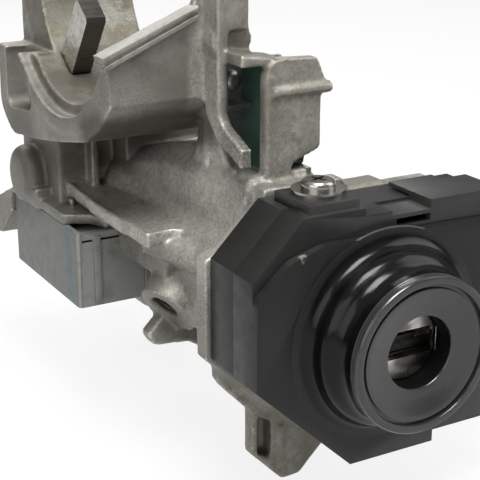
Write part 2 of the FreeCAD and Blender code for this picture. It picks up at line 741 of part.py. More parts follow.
def make_lock_cam():
    """Spiral cam keyed to the tail shaft, which pushes the carrier down as it turns."""
    nose_deg = TURN_DEG + 8.0
    step_deg = 6.0
    count = int(nose_deg / step_deg)
    spiral = []
    for i in range(count + 1):
        angle = math.radians(nose_deg * i / count)
        radius = cam_radius(nose_deg * i / count)
        spiral.append(V(radius * math.sin(angle), CAM_Y[0], -radius * math.cos(angle)))
    curve = Part.BSplineCurve()
    curve.interpolate(spiral)
    tip = spiral[-1]
    back_angle = math.radians(nose_deg + 42.0)
    back = V(CAM_BASE_R * math.sin(back_angle), CAM_Y[0], -CAM_BASE_R * math.cos(back_angle))
    opposite_angle = math.radians(255.0)
    opposite = V(CAM_BASE_R * math.sin(opposite_angle), CAM_Y[0], -CAM_BASE_R * math.cos(opposite_angle))
    edges = [
        curve.toShape(),
        Part.makeLine(tip, back),
        Part.Arc(back, opposite, spiral[0]).toShape(),
    ]
    body = Part.Face(Part.Wire(edges)).extrude(V(0, CAM_Y[1] - CAM_Y[0], 0))
    hole = rod_y(SHAFT_R, CAM_Y[0] - OVER, CAM_Y[1] + OVER)
    flat = box((SHAFT_FLAT, CAM_Y[0] - OVER, -SHAFT_R), (SHAFT_R + OVER, CAM_Y[1] + OVER, SHAFT_R))
    return body.cut(hole.cut(flat))


def carrier_bottom():
    """Inner lower edge of the carrier's window."""
    return -cam_reach() - CAM_GAP


def spring_seat():
    """Middle of the upper seat of the bolt's spring, inside the carrier."""
    return (SPRING_X, (CARRIER_Y[0] + CARRIER_Y[1]) / 2 - 1.8, ARM_Z[1] - 1.6)


def make_bolt_carrier():
    """Window round the cam, arm to the left, and leg up to the bolt's foot."""
    low = carrier_bottom()
    x0 = CARRIER_WINDOW_X[0] - CARRIER_BAR
    x1 = CARRIER_WINDOW_X[1] + CARRIER_BAR
    y0 = CARRIER_Y[0]
    y1 = CARRIER_Y[1]
    top = CARRIER_WINDOW_TOP + CARRIER_BAR
    corner = 3.0
    frame = prism_y(
        [
            (x0, low - CARRIER_BAR, corner),
            (x1, low - CARRIER_BAR, corner),
            (x1, top, corner),
            (x0, top, corner),
        ],
        y0,
        y1,
    )
    window = box(
        (CARRIER_WINDOW_X[0], y0 - OVER, low),
        (CARRIER_WINDOW_X[1], y1 + OVER, CARRIER_WINDOW_TOP),
    )
    leg_x = (BOLT_X - LEG_HALF_W, BOLT_X + LEG_HALF_W)
    arm = box((leg_x[0], y0, ARM_Z[0]), (x0 + 1.0, y1, ARM_Z[1]))
    foot_low = slide_point(BOLT_FOOT, -BOLT_H / 2)
    foot_high = slide_point(BOLT_FOOT, BOLT_H / 2)
    leg = prism_x(
        [
            (y0, ARM_Z[0]),
            (y1, ARM_Z[0]),
            (y1 + 2.5, 18.0),
            foot_high,
            foot_low,
            (y0, 18.0),
        ],
        *leg_x
    )
    direction = V(0, SLIDE_Y, SLIDE_Z)
    seat = V(*spring_seat())
    housing = rod(SPRING_POCKET_R + 1.6, tuple(seat - direction * 2.0), tuple(direction), 12.0)
    reach = box((SPRING_X - 8.0, CHAMBER_Y + 0.6, ARM_Z[0]), (SPRING_X + 8.0, y1 + 4.2, ARM_Z[1]))
    pocket = rod(SPRING_POCKET_R, tuple(seat), tuple(direction), 14.0)
    return fuse(frame.cut(window), arm, leg, housing.common(reach)).cut(pocket)


def make_lock_bolt():
    """Steel bar with a tapered tip, standing in the saddle."""
    bar = bolt_bar(BOLT_TIP, BOLT_FOOT, BOLT_H / 2, BOLT_X - BOLT_W / 2, BOLT_X + BOLT_W / 2)
    tip = [edge for edge in bar.Edges
           if abs(edge.CenterOfMass.y - slide_point(BOLT_TIP, BOLT_H / 2)[0]) < 0.1
           or abs(edge.CenterOfMass.y - slide_point(BOLT_TIP, -BOLT_H / 2)[0]) < 0.1]
    return bar.makeChamfer(0.8, tip)


def make_bolt_spring():
    seat = spring_seat()
    floor = COVER_Z[0] + 2.0
    length = (floor - seat[2]) / SLIDE_Z - SPRING_R * SLIDE_Y / -SLIDE_Z
    return coil(seat, (0, SLIDE_Y, SLIDE_Z), SPRING_R, SPRING_WIRE, length, 5)


# Casting

def cast_flange():
    """Plate behind the black housing, a little larger than it."""
    return prism_y(
        [
            (LEFT_X - 0.7, CHAMFER_LOW_Z - 0.4),
            (CHAMFER_LOW_X - 0.4, BOTTOM_Z - 0.7),
            (BOTTOM_STEP_X + 0.4, BOTTOM_Z - 0.7, 1.0),
            (RIGHT_X - 5.6, BOTTOM_STEP_Z - 0.7, 1.0),
            (RIGHT_X + 0.6, BOTTOM_STEP_Z + 6.0, 1.0),
            (RIGHT_X + 0.6, CHAMFER_TOP_Z, 1.0),
            (RIGHT_X - 9.5, MID_TOP_Z - 0.6, 1.0),
            (3.2, MID_TOP_Z - 0.6),
            (2.6, TOP_Z + 1.0, 2.0),
            (-18.2, TOP_Z + 1.0, 1.0),
            (-19.4, TOP_Z - 2.6, 1.5),
            (-28.6, 17.6, 2.0),
            (LEFT_X - 0.7, 15.9, 1.0),
        ],
        FLANGE_Y[0],
        FLANGE_Y[1],
    )


def front_section(y, low_x, rim_x, rim_z, mound_x, mound_z):
    """Section of the body's left part between the flange and the deck."""
    corners = [
        (low_x, -6.5),
        (low_x, 6.4),
        (rim_x, 9.6),
        (rim_x, rim_z),
        (mound_x, mound_z),
        (-12.0, mound_z),
        (-12.0, -6.5),
    ]
    return rounded_wire(corners, lambda p: V(p.x, y, p.y))


def cast_front_block():
    """Tapering block between the flange and the deck, with its hollow left side."""
    wedge = prism_x(
        [
            (FLANGE_Y[0] + 1.0, TOP_Z - 1.4),
            (FLANGE_Y[1] + 2.0, TOP_Z - 1.4, 2.0),
            (DECK_FRONT_Y - 6.0, DECK_Z - 2.4, 8.0),
            (DECK_FRONT_Y + 8.0, DECK_Z - 2.4),
            (DECK_FRONT_Y + 8.0, -12.0),
            (FLANGE_Y[0] + 1.0, -12.0),
        ],
        -19.0,
        24.0,
    )
    profile = prism_y(
        [
            (-28.0, -6.5, 3.0),
            (-12.0, -24.0, 8.0),
            (14.0, -24.0, 8.0),
            (24.0, -10.0, 8.0),
            (24.0, 16.0, 8.0),
            (12.0, TOP_Z, 4.0),
            (-20.0, TOP_Z - 2.4, 2.0),
            (-28.0, 12.0, 2.0),
        ],
        FLANGE_Y[0],
        DECK_FRONT_Y + 10.0,
    )
    left = Part.makeLoft([front_section(*values) for values in FRONT_SECTIONS], True, True)
    rib = rod(0.9, (-21.7, FLANGE_Y[1] - 1.0, 19.9), (-0.06, 1.0, -0.07), 14.5)
    return fuse(wedge.common(profile), left, rib)


def cast_deck():
    """Broad top of the body, and the flat plate with a raised rim that reaches out to the left."""
    profile = prism_y(
        [
            (DECK_LEFT_X, DECK_Z - 3.4, 1.5),
            (DECK_LEFT_X + 5.5, DECK_Z - 1.2, 4.0),
            (-14.0, DECK_Z, 10.0),
            (-4.0, DECK_Z + 4.0, 10.0),
            (12.0, DECK_Z + 4.0, 10.0),
            (20.0, 6.0, 6.0),
            (20.0, -2.0),
            (-20.0, -2.0, 4.0),
            (DECK_LEFT_X, 3.0, 2.0),
        ],
        DECK_FRONT_Y - 2.0,
        BARREL_END_Y,
    )
    plate = prism_z(DECK_EDGE, DECK_Z - DECK_PLATE_T, DECK_Z + DECK_RIM)
    inside = [(x + 1.2, y + 1.2, 1.0) for x, y in ((-36.4, 56.0), (-30.4, 57.0), (-24.6, 53.2))]
    inside += [(-18.0, 52.6), (-18.0, 115.0), (-35.0, 115.0), (-36.8, 78.0, 20.0)]
    dish = prism_z(inside, DECK_Z, DECK_Z + DECK_RIM + OVER)
    return fuse(profile, plate.cut(dish))


def cast_pedestal():
    """Mass between the deck and the saddle, and the tower that guides the bolt."""
    column = prism_x(
        [
            (94.0, DECK_Z - 4.0),
            (94.0, 34.6),
            (BARREL_END_Y, 34.6),
            (BARREL_END_Y, DECK_Z - 4.0),
        ],
        PEDESTAL_X,
        COLUMN_RIGHT_X,
    )
    tower = box((BOLT_X - TOWER_WALL, TOWER_Y, COVER_Z[1]), (PEDESTAL_X + OVER, SADDLE_BACK_Y + 1.6, 36.0))
    web = box((-31.4, TOWER_Y - 3.6, DECK_Z - OVER), (-29.6, TOWER_Y + 6.0, 32.0))
    belly = rod(8.0, (BOLT_X - TOWER_WALL - 5.4, 119.0, 15.6), (1, 0, 0), 8.0)
    rim = [edge for edge in belly.Edges if edge.CenterOfMass.x < BOLT_X - TOWER_WALL - 5.3]
    ledge = prism_z(
        [
            (COVER_LEFT_X, 93.0, 1.5),
            (COVER_LEFT_X + 6.0, 90.0, 1.5),
            (COVER_LEFT_X + 8.0, COVER_Y[0] + 1.0, 1.0),
            (COVER_RIGHT_X - 2.0, COVER_Y[0] + 1.0),
            (COVER_RIGHT_X - 2.0, COVER_Y[1]),
            (COVER_LEFT_X, COVER_Y[1]),
        ],
        COVER_Z[1],
        COVER_Z[1] + 2.6,
    )
    return fuse(column, tower, web, belly.makeFillet(3.0, rim), ledge)


def mound_section(y, foot_x, foot_z, side_x, side_z, top_x, top_z):
    """Section of the body under the interlock and the saddle."""
    corners = [
        (foot_x - 5.0, 8.0),
        (foot_x - 5.0, foot_z - 1.8),
        (foot_x, foot_z, 2.0),
        (side_x, side_z, 3.0),
        (top_x, top_z, 2.0),
        (MOUND_RIGHT_X, top_z + 0.6),
        (MOUND_RIGHT_X, 8.0),
    ]
    return rounded_wire(corners, lambda p: V(p.x, y, p.y))


def cast_mound():
    """Rounded body that runs back from the interlock and sinks into the deck."""
    return Part.makeLoft([mound_section(*values) for values in MOUND_SECTIONS], True, True)


def cast_rear_lug():
    """Arm that runs back and down from the tower to a fixing hole."""
    arm = prism_x(
        [
            (108.0, COVER_Z[1]),
            (108.0, 14.5),
            (128.0, 9.8),
            (141.0, 4.0, 4.0),
            (148.0, 1.0, 4.0),
            (148.0, -6.0, 3.0),
            (138.0, -6.0, 4.0),
            (127.4, 4.0, 2.0),
            (126.4, COVER_Z[1]),
        ],
        REAR_LUG_X[0],
        REAR_LUG_X[1],
    )
    return arm


def cast_saddle():
    """Half seat for the column tube, with its front and back walls."""
    block = prism_x(
        [
            (SADDLE_FRONT_Y, COLUMN_Z),
            (SADDLE_FRONT_Y, 46.5, 0.6),
            (61.0, 40.6, 4.0),
            (70.0, 35.6, 12.0),
            (84.0, 32.6, 30.0),
            (100.0, 29.8, 20.0),
            (118.0, 27.5, 8.0),
            (SADDLE_BACK_Y, 33.0, 6.0),
            (SADDLE_BACK_Y, COLUMN_Z),
        ],
        SADDLE_X[0],
        SADDLE_X[1],
    )
    sloped_end = prism_y(
        [
            (SADDLE_X[0] - OVER, 57.4),
            (-25.0, 66.6),
            (-24.0, COLUMN_Z + OVER),
            (SADDLE_X[0] - OVER, COLUMN_Z + OVER),
        ],
        SADDLE_FRONT_Y - OVER,
        SADDLE_FRONT_Y + 12.0,
    )
    pocket = prism_x(
        [
            (104.0, 36.0, 3.0),
            (121.0, 34.0, 3.0),
            (121.0, 50.0, 3.0),
            (113.5, 52.0, 3.0),
            (103.0, 44.5, 3.0),
        ],
        SADDLE_X[0] - OVER,
        SADDLE_X[0] + 7.0,
    )
    step = rod(COLUMN_R + 2.8, (SADDLE_X[0] - OVER, COLUMN_Y, COLUMN_Z), (1, 0, 0), OVER + 3.0)
    face_ring = rod(90.0, (SADDLE_X[0] - OVER, COLUMN_Y, COLUMN_Z), (1, 0, 0), OVER + 0.7).cut(
        rod(COLUMN_R + 6.4, (SADDLE_X[0] - 2 * OVER, COLUMN_Y, COLUMN_Z), (1, 0, 0), 6.0))
    low_left = box(
        (SADDLE_X[0] - OVER, SADDLE_FRONT_Y + 6.0, 50.0),
        (SADDLE_X[0] + 8.0, SADDLE_BACK_Y + OVER, COLUMN_Z + OVER),
    )
    return cut_all(block, [sloped_end, pocket, step, face_ring, low_left])


def cast_saddle_rim():
    """Raised two-step lip along the sloped top of the front wall."""
    upper = [(SADDLE_X[0] - 1.0, 55.2), (-24.5, 64.8), (-24.5, 67.0), (SADDLE_X[0] - 1.4, 57.6)]
    lower = [(SADDLE_X[0] + 0.4, 54.6), (-25.0, 63.4), (-25.0, 65.2), (SADDLE_X[0], 56.0)]
    return fuse(
        prism_y(upper, SADDLE_FRONT_Y - 1.6, SADDLE_FRONT_Y + 2.2),
        prism_y(lower, SADDLE_FRONT_Y - 0.8, SADDLE_FRONT_Y + 1.0),
    )


def cast_cap_lugs():
    """Lugs that take the two screws of the column cap."""
    near_y = COLUMN_Y - CAP_HOLE_OFFSET
    near = rod(CAP_LUG_R, (CAP_HOLE_X, near_y, 62.0), (0, 0, 1), COLUMN_Z - 62.0)
    under = rod_y(5.0, near_y - 3.0, SADDLE_FRONT_Y + 3.0, CAP_HOLE_X - 0.6, 59.6)
    root = box((POST_X[1] - OVER, near_y - 2.0, 56.0), (CAP_HOLE_X + 2.0, SADDLE_FRONT_Y + 3.0, COLUMN_Z))
    return fuse(near, under, root)


def cast_post():
    """Curved post at the left of the interlock's cavity, seen as a J."""
    return prism_x(
        [
            (48.6, COLUMN_Z),
            (48.6, 42.0, 4.0),
            (42.0, 39.4),
            (FLANGE_Y[1] - 1.0, 38.0),
            (FLANGE_Y[1] - 1.0, 33.6),
            (43.0, 35.4),
            (49.0, 37.0, 4.0),
            (55.2, 43.5, 5.0),
            (55.2, COLUMN_Z),
        ],
        POST_X[0],
        POST_X[1],
    )


def cast_cavity_walls():
    """Floor, back wall and top arch round the interlock."""
    floor = prism_x(
        [
            (FLANGE_Y[1] - 1.0, 12.0),
            (FLANGE_Y[1] - 1.0, 28.0),
            (PLATE_Y[1], FRAME_FLOOR_Z),
            (50.0, FRAME_FLOOR_Z + 1.0),
            (FRAME_PLATE_Y[1], 44.0),
            (61.0, 44.0),
            (66.0, 30.0, 8.0),
            (78.0, 12.0),
        ],
        POST_X[1],
        INTERLOCK_X[1] + 0.6,
    )
    back = box(
        (POST_X[1] - 1.0, FRAME_PLATE_Y[1], FRAME_FLOOR_Z + 0.8),
        (INTERLOCK_X[1] - 1.0, FRAME_PLATE_Y[1] + 2.2, 52.0),
    )
    arch = prism_y(
        [(POST_X[1] - 1.0, 55.2), (-10.0, 55.2), (-10.0, 56.4), (POST_X[1] - 1.0, 57.8)],
        PLATE_Y[0] + 1.0,
        50.0,
    )
    return fuse(floor, back, arch)


def cavity_cuts():
    """Room for the interlock and its frame, open to the left."""
    cavity = box(
        (INTERLOCK_X[0] - 6.0, PLATE_Y[1], FRAME_FLOOR_Z),
        (INTERLOCK_X[1] + 4.0, FRAME_PLATE_Y[1], 55.2),
    )
    front = prism_x(
        [(PLATE_Y[1], FRAME_FLOOR_Z), (47.0, FRAME_FLOOR_Z), (50.6, 40.0), (PLATE_Y[1], 40.0)],
        POST_X[1],
        INTERLOCK_X[0],
    )
    return [cavity, front]


def cast_upper_plate():
    """Upright plate above the flange, with a horizontal rib and a rounded left rim."""
    plate = prism_y(
        [
            (-15.3, 27.0),
            (-15.3, 57.0, 5.0),
            (-2.1, 56.2, 0.8),
            (0.0, 51.4),
            (-1.1, 47.6),
            (-1.1, 35.6, 0.8),
            (-8.4, 33.0, 2.5),
            (-8.9, 27.0),
        ],
        PLATE_Y[0],
        PLATE_Y[1],
    )
    rib = prism_x(
        [
            (PLATE_Y[0] + 0.5, 47.8),
            (PLATE_Y[0] - 1.3, 48.8),
            (PLATE_Y[0] - 1.3, 49.9),
            (PLATE_Y[0] + 0.5, 51.2),
        ],
        -13.4,
        1.3,
    )
    rim = rod(1.3, (-14.0, PLATE_Y[0] + 0.8, 29.0), (0, 0, 1), 24.0)
    return fuse(plate, rib, rim)


def cast_lower_bracket():
    """Tab below the flange with a rectangular window."""
    tab = prism_y(
        [
            (-29.8, -6.0),
            (-29.8, -13.1, 1.0),
            (-28.6, -15.1, 1.0),
            (-20.8, -23.5, 1.5),
            (-20.8, -33.5, 1.0),
            (-19.4, -35.7, 1.0),
            (-12.2, -43.0, 2.0),
            (-7.5, -42.4, 1.0),
            (2.0, -33.0, 2.0),
            (6.0, -26.0),
        ],
        FLANGE_Y[0] + 1.0,
        FLANGE_Y[0] + 3.8,
    )
    window = prism_y(
        [(-19.2, -25.0, 0.5), (-15.5, -27.0, 0.5), (-15.5, -36.6, 0.5), (-19.2, -34.6, 0.5)],
        FLANGE_Y[0],
        FLANGE_Y[1] + 0.2,
    )
    backing = prism_y(
        [(-20.0, -23.0), (-14.6, -23.0), (-14.6, -37.6, 1.0), (-20.0, -35.4, 1.0)],
        FLANGE_Y[0] + 2.0,
        FLANGE_Y[1] + 1.4,
    )
    ridge = prism_y(
        [(-13.6, -28.5), (-12.4, -28.5), (-12.4, -41.0), (-13.6, -41.6)],
        FLANGE_Y[0] + 0.5,
        FLANGE_Y[1],
    )
    return fuse(fuse(tab, backing).cut(window), ridge)


def cast_boss():
    """Slanted round boss with a threaded hole, and the claw under it."""
    direction = V(*BOSS_DIR)
    direction.normalize()
    centre = V(*BOSS_POINT) + V(*BOSS_SIDE) * BOSS_SHIFT
    start = centre - direction * BOSS_LEN
    boss = Part.makeCone(BOSS_R + 1.6, BOSS_R, BOSS_LEN, start, direction)
    claw = prism_y(
        [
            (-34.2, -11.2, 0.8),
            (-30.8, -7.8, 0.6),
            (-26.0, -4.0),
            (-14.0, -8.0),
            (-14.0, -21.4),
            (-16.4, -19.2, 1.0),
            (-23.2, -15.2, 2.0),
            (-32.6, -14.2, 1.6),
        ],
        CLAW_Y[0],
        CLAW_Y[1],
    )
    return fuse(boss, claw)


def square_y(half, corner, y0, y1):
    """Square prism round the key axis."""
    sides = ((-1, -1), (1, -1), (1, 1), (-1, 1))
    return prism_y([(half * u, half * v, corner) for u, v in sides], y0, y1)


def switch_ears(y0, y1):
    """Two ears, left and right of the key axis, that take the switch's screws."""
    ears = []
    for side in (-1, 1):
        ears.append(rod_y(SWITCH_EAR_R, y0, y1, side * SWITCH_EAR_X))
        inner = side * (SWITCH_R - 1.0)
        outer = side * SWITCH_EAR_X
        ears.append(box((min(inner, outer), y0, -SWITCH_EAR_R), (max(inner, outer), y1, SWITCH_EAR_R)))
    return ears


def cast_rear_block():
    """Housing of the cam chamber."""
    half = CHAMBER_HALF + CHAMBER_WALL
    barrel = square_y(half, SWITCH_CORNER_R, CHAMBER_Y - 3.5, BARREL_END_Y)
    link = box((COVER_RIGHT_X, COVER_Y[0], COVER_Z[0]), (-half + 10.0, BARREL_END_Y, DECK_Z - 2.0))
    return fuse(barrel, link, *switch_ears(BARREL_END_Y - 12.0, BARREL_END_Y))


def casting_cuts():
    """Every bore, chamber and hole of the casting."""
    tools = cavity_cuts()
    tools.append(rod_y(SLEEVE_R + RUN, FLANGE_Y[0] - OVER, CAST_BORE_END_Y))
    tools.append(rod_y(SHAFT_R + RUN, CAST_BORE_END_Y - OVER, CHAMBER_Y + OVER))
    tools.append(rod_y(SHAFT_R + 1.0, CAST_BORE_END_Y + 8.0, CHAMBER_Y - 8.0))
    tools.append(square_y(CHAMBER_HALF, 3.0, CHAMBER_Y, BARREL_END_Y + 2 * OVER))
    tools.append(box(
        (COVER_RIGHT_X - OVER, CHAMBER_Y, COVER_Z[0] + 2.0),
        (-CHAMBER_HALF + 6.0, BARREL_END_Y - 0.8, COVER_Z[1]),
    ))
    half = LEG_HALF_W + LEG_ROOM
    tools.append(box(
        (BOLT_X - half, CARRIER_Y[0] - LEG_ROOM, COVER_Z[1] - OVER),
        (BOLT_X + half, SADDLE_BACK_Y - 2.2, 34.5),
    ))
    half = BOLT_W / 2 + RUN
    last = BOLT_FOOT + BOLT_TRAVEL + 0.6
    tools.append(bolt_bar(BOLT_TIP, last, BOLT_H / 2 + RUN, BOLT_X - half, BOLT_X + half))
    tools.append(rod(COLUMN_R, (-COLUMN_CUT / 2, COLUMN_Y, COLUMN_Z), (1, 0, 0), COLUMN_CUT))
    tools.append(box(
        (COVER_LEFT_X - 2 * OVER, COVER_Y[0], COVER_Z[0] - OVER),
        (COVER_RIGHT_X, COVER_Y[1], COVER_Z[1]),
    ))
    tools.append(rod(REAR_LUG_HOLE_R, (REAR_LUG_X[0] - OVER, REAR_LUG_Y + 1.0, -1.4), (1, 0, 0), 20.0))
    tools.append(rod(SCREW_R, (SCREW_X, SCREW_Y, LUG_Z[0] - OVER), (0, 0, 1), 20.0))
    for side in (-1, 1):
        low = (CAP_HOLE_X, COLUMN_Y + side * CAP_HOLE_OFFSET, COLUMN_Z - CAP_HOLE_DEPTH)
        tools.append(rod(CAP_HOLE_R, low, (0, 0, 1), CAP_HOLE_DEPTH + OVER))
        tools.append(rod_y(SWITCH_SCREW_R, BARREL_END_Y - 4.5, BARREL_END_Y + OVER, side * SWITCH_EAR_X))
    direction = V(*BOSS_DIR)
    direction.normalize()
    inner = V(*BOSS_POINT) - direction * BOSS_HOLE_DEPTH
    tools.append(rod(BOSS_HOLE_R, tuple(inner), tuple(direction), BOSS_HOLE_DEPTH + OVER))
    tools.append(rod(PLUNGER_R + RUN, (PLUNGER_X, PLUNGER_Y, 6.0), (0, 0, 1), 28.0))
    hole_half = PIN_HALF_LEN + 0.6
    tools.append(rod(PIN_R + 0.02, (-hole_half, PIN_Y, PIN_Z), (1, 0, 0), 2 * hole_half))
    tools.append(box((SENSOR_X[0], FLANGE_Y[0] - OVER, -SENSOR_HALF_Z),
                     (RIGHT_X + 6.0, SENSOR_Y + SENSOR_HALF_Y, SENSOR_HALF_Z)))
    tools.append(rod(SENSOR_PIN_R + RUN, (SLEEVE_R - OVER, SENSOR_Y, 0.0), (1, 0, 0), 10.0))
    for y in COVER_RIVET_Y:
        tools.append(rod(COVER_RIVET_R, (COVER_RIVET_X, y, COVER_Z[1] - OVER), (0, 0, 1), 5.0))
    return tools


def make_lock_housing():
    """The one-piece die casting."""
    barrel = rod_y(BARREL_R, FLANGE_Y[0], CHAMBER_Y)
    lug = box((LUG_X[0], LUG_Y, LUG_Z[0]), (LUG_X[1], FLANGE_Y[1], LUG_Z[1]))
    body = fuse(
        cast_flange(),
        cast_front_block(),
        cast_deck(),
        cast_pedestal(),
        cast_mound(),
        cast_rear_lug(),
        cast_saddle(),
        cast_saddle_rim(),
        cast_cap_lugs(),
        cast_post(),
        cast_cavity_walls(),
        cast_upper_plate(),
        cast_lower_bracket(),
        cast_boss(),
        cast_rear_block(),
        barrel,
        lug,
    )
    return cut_all(body, casting_cuts())


# Cover, rear switch, interlock and key-in switch

def make_mechanism_cover():
    """Box-shaped cover pressed onto the left of the cam chamber."""
    outer = box((COVER_LEFT_X, COVER_Y[0], COVER_Z[0]), (COVER_RIGHT_X, COVER_Y[1], COVER_Z[1]))
    upright = [edge for edge in outer.Edges
               if edge.CenterOfMass.x < COVER_LEFT_X + 0.1 and abs(edge.CenterOfMass.z) < 5.0]
    outer = outer.makeFillet(1.2, upright)
    inner = box((COVER_LEFT_X + COVER_WALL, COVER_Y[0] + COVER_WALL, COVER_Z[0] + COVER_WALL),
                (COVER_RIGHT_X + OVER, COVER_Y[1] - COVER_WALL, COVER_Z[1] + OVER))
    rib = box((COVER_LEFT_X + 4.2, COVER_Y[0] - 0.8, COVER_Z[0] + 1.0),
              (COVER_LEFT_X + 6.0, COVER_Y[0] + 0.2, COVER_Z[1] - 1.0))
    tabs = []
    holes = []
    for y in COVER_RIVET_Y:
        near = (COVER_LEFT_X + COVER_WALL, y - 2.6, COVER_TAB_Z)
        far = (COVER_RIVET_X + 3.0, min(y + 2.6, COVER_Y[1]), COVER_Z[1])
        tabs.append(box(near, far))
        holes.append(rod(COVER_RIVET_R, (COVER_RIVET_X, y, COVER_TAB_Z - OVER), (0, 0, 1), 6.0))
        holes.append(rod(COVER_RIVET_HEAD_R + 0.1, (COVER_RIVET_X, y, COVER_TAB_Z - 3.0), (0, 0, 1), 3.0))
    return cut_all(fuse(outer.cut(inner), rib, *tabs), holes)


def make_cover_rivets():
    """Rivets through the cover's two tabs into the casting."""
    rivets = []
    for y in COVER_RIVET_Y:
        shank = rod(COVER_RIVET_R, (COVER_RIVET_X, y, COVER_TAB_Z), (0, 0, 1), 5.6)
        under = (COVER_RIVET_X, y, COVER_TAB_Z - COVER_RIVET_HEAD_T)
        head = rod(COVER_RIVET_HEAD_R, under, (0, 0, 1), COVER_RIVET_HEAD_T)
        rivets.append(shank.fuse(head))
    return Part.makeCompound(rivets)


def make_switch_body():
    """Cup of the electrical switch, with its flange and two ears."""
    floor_y = BARREL_END_Y + SWITCH_FLANGE_T
    flange = square_y(CHAMBER_HALF + CHAMBER_WALL, SWITCH_CORNER_R, BARREL_END_Y, floor_y)
    cup = rod_y(SWITCH_R, BARREL_END_Y, SWITCH_CAP_Y[0])
    tools = [rod_y(SWITCH_R - SWITCH_WALL, floor_y, SWITCH_CAP_Y[0] + OVER),
             rod_y(SHAFT_R + RUN, BARREL_END_Y - OVER, floor_y + OVER)]
    for side in (-1, 1):
        tools.append(rod_y(SWITCH_SCREW_R + 0.2, BARREL_END_Y - OVER, floor_y + OVER, side * SWITCH_EAR_X))
    tools.append(box((TERMINAL_X[0] - 1.4, SWITCH_CAP_Y[0] - 1.8, -SWITCH_R - OVER),
                     (TERMINAL_X[-1] + 1.4, SWITCH_CAP_Y[0] + OVER, terminal_level())))
    return cut_all(fuse(flange, cup, *switch_ears(BARREL_END_Y, floor_y)), tools)


def socket_end():
    """Rear edge of the switch's wiring socket."""
    return SWITCH_CAP_Y[1] + SWITCH_SOCKET_DEPTH


def terminal_level():
    """Height at which the contact strips leave the cup, just clear of its wall."""
    room = SWITCH_R - SWITCH_WALL
    outermost = TERMINAL_X[-1] + TERMINAL_W / 2
    return TERMINAL_GAP - math.sqrt(room * room - outermost * outermost)


def terminal(x):
    """Contact strip from the rotor down and back into the socket."""
    level = terminal_level()
    front = ROTOR_Y[1] + LOOSE
    drop = SWITCH_CAP_Y[0] - 1.5 * TERMINAL_T
    tip = socket_end() - 4.6
    half = TERMINAL_T / 2
    middle = (SWITCH_SOCKET_Z[0] + SWITCH_SOCKET_Z[1]) / 2
    return prism_x(
        [
            (front, -5.0),
            (front, level),
            (drop, level),
            (drop, middle - half),
            (tip, middle - half),
            (tip, middle + half),
            (drop + TERMINAL_T, middle + half),
            (drop + TERMINAL_T, level + TERMINAL_T),
            (front + TERMINAL_T, level + TERMINAL_T),
            (front + TERMINAL_T, -5.0),
        ],
        x - TERMINAL_W / 2,
        x + TERMINAL_W / 2,
    )


def make_switch_terminals():
    return Part.makeCompound([terminal(x) for x in TERMINAL_X])


def make_switch_cap():
    """End cap of the switch with the wiring socket below it."""
    disc = rod_y(SWITCH_R, SWITCH_CAP_Y[0], SWITCH_CAP_Y[1])
    socket = box((-SWITCH_SOCKET_HALF, SWITCH_CAP_Y[0], SWITCH_SOCKET_Z[0]),
                 (SWITCH_SOCKET_HALF, socket_end(), SWITCH_SOCKET_Z[1]))
    skirt = box((-SWITCH_SOCKET_HALF, SWITCH_CAP_Y[0] - 3.0, SWITCH_SOCKET_Z[0]),
                (SWITCH_SOCKET_HALF, SWITCH_CAP_Y[0], SWITCH_SOCKET_Z[1]))
    skirt = skirt.cut(rod_y(SWITCH_R + LOOSE, BARREL_END_Y, SWITCH_CAP_Y[0]))
    well = box((-SWITCH_SOCKET_HALF + SWITCH_WALL, SWITCH_CAP_Y[1], SWITCH_SOCKET_Z[0] + SWITCH_WALL),
               (SWITCH_SOCKET_HALF - SWITCH_WALL, socket_end() + OVER, SWITCH_SOCKET_Z[1] - SWITCH_WALL))
    solid = fuse(disc, socket, skirt)
    return cut_all(solid, [well] + [terminal(x) for x in TERMINAL_X])


def make_switch_rotor():
    """Contact carrier on the flatted end of the tail shaft."""
    disc = rod_y(ROTOR_R, ROTOR_Y[0], ROTOR_Y[1])
    hole = rod_y(SHAFT_R, ROTOR_Y[0] - OVER, ROTOR_Y[1] + OVER)
    flat = box((SHAFT_FLAT, ROTOR_Y[0] - OVER, -SHAFT_R), (SHAFT_R + OVER, ROTOR_Y[1] + OVER, SHAFT_R))
    return disc.cut(hole.cut(flat))


def make_switch_screws():
    screws = []
    seat = BARREL_END_Y + SWITCH_FLANGE_T
    for side in (-1, 1):
        x = side * SWITCH_EAR_X
        head = rod_y(SWITCH_SCREW_R * 1.9, seat, seat + 2.4, x)
        rim = [edge for edge in head.Edges if edge.CenterOfMass.y > seat + 2.3]
        head = head.makeChamfer(0.8, rim)
        shank = rod_y(SWITCH_SCREW_R, seat - SWITCH_SCREW_LEN, seat, x)
        slots = [box((x - 1.7, seat + 1.3, -0.35), (x + 1.7, seat + 4.0, 0.35)),
                 box((x - 0.35, seat + 1.3, -1.7), (x + 0.35, seat + 4.0, 1.7))]
        screws.append(fuse(head, shank).cut(fuse(*slots)))
    return Part.makeCompound(screws)


def interlock_outline():
    """Side view of the interlock's moulded body, as (y, z) corners."""
    return [
        (44.5, 37.8, 3.0),
        (46.6, FRAME_FLOOR_Z + FRAME_T, 1.0),
        (51.0, FRAME_FLOOR_Z + FRAME_T, 1.0),
        (FRAME_PLATE_Y[0], 36.4, 2.0),
        (FRAME_PLATE_Y[0], 53.0, 1.0),
        (49.2, 54.4, 3.0),
        (44.5, 51.4, 4.0),
    ]


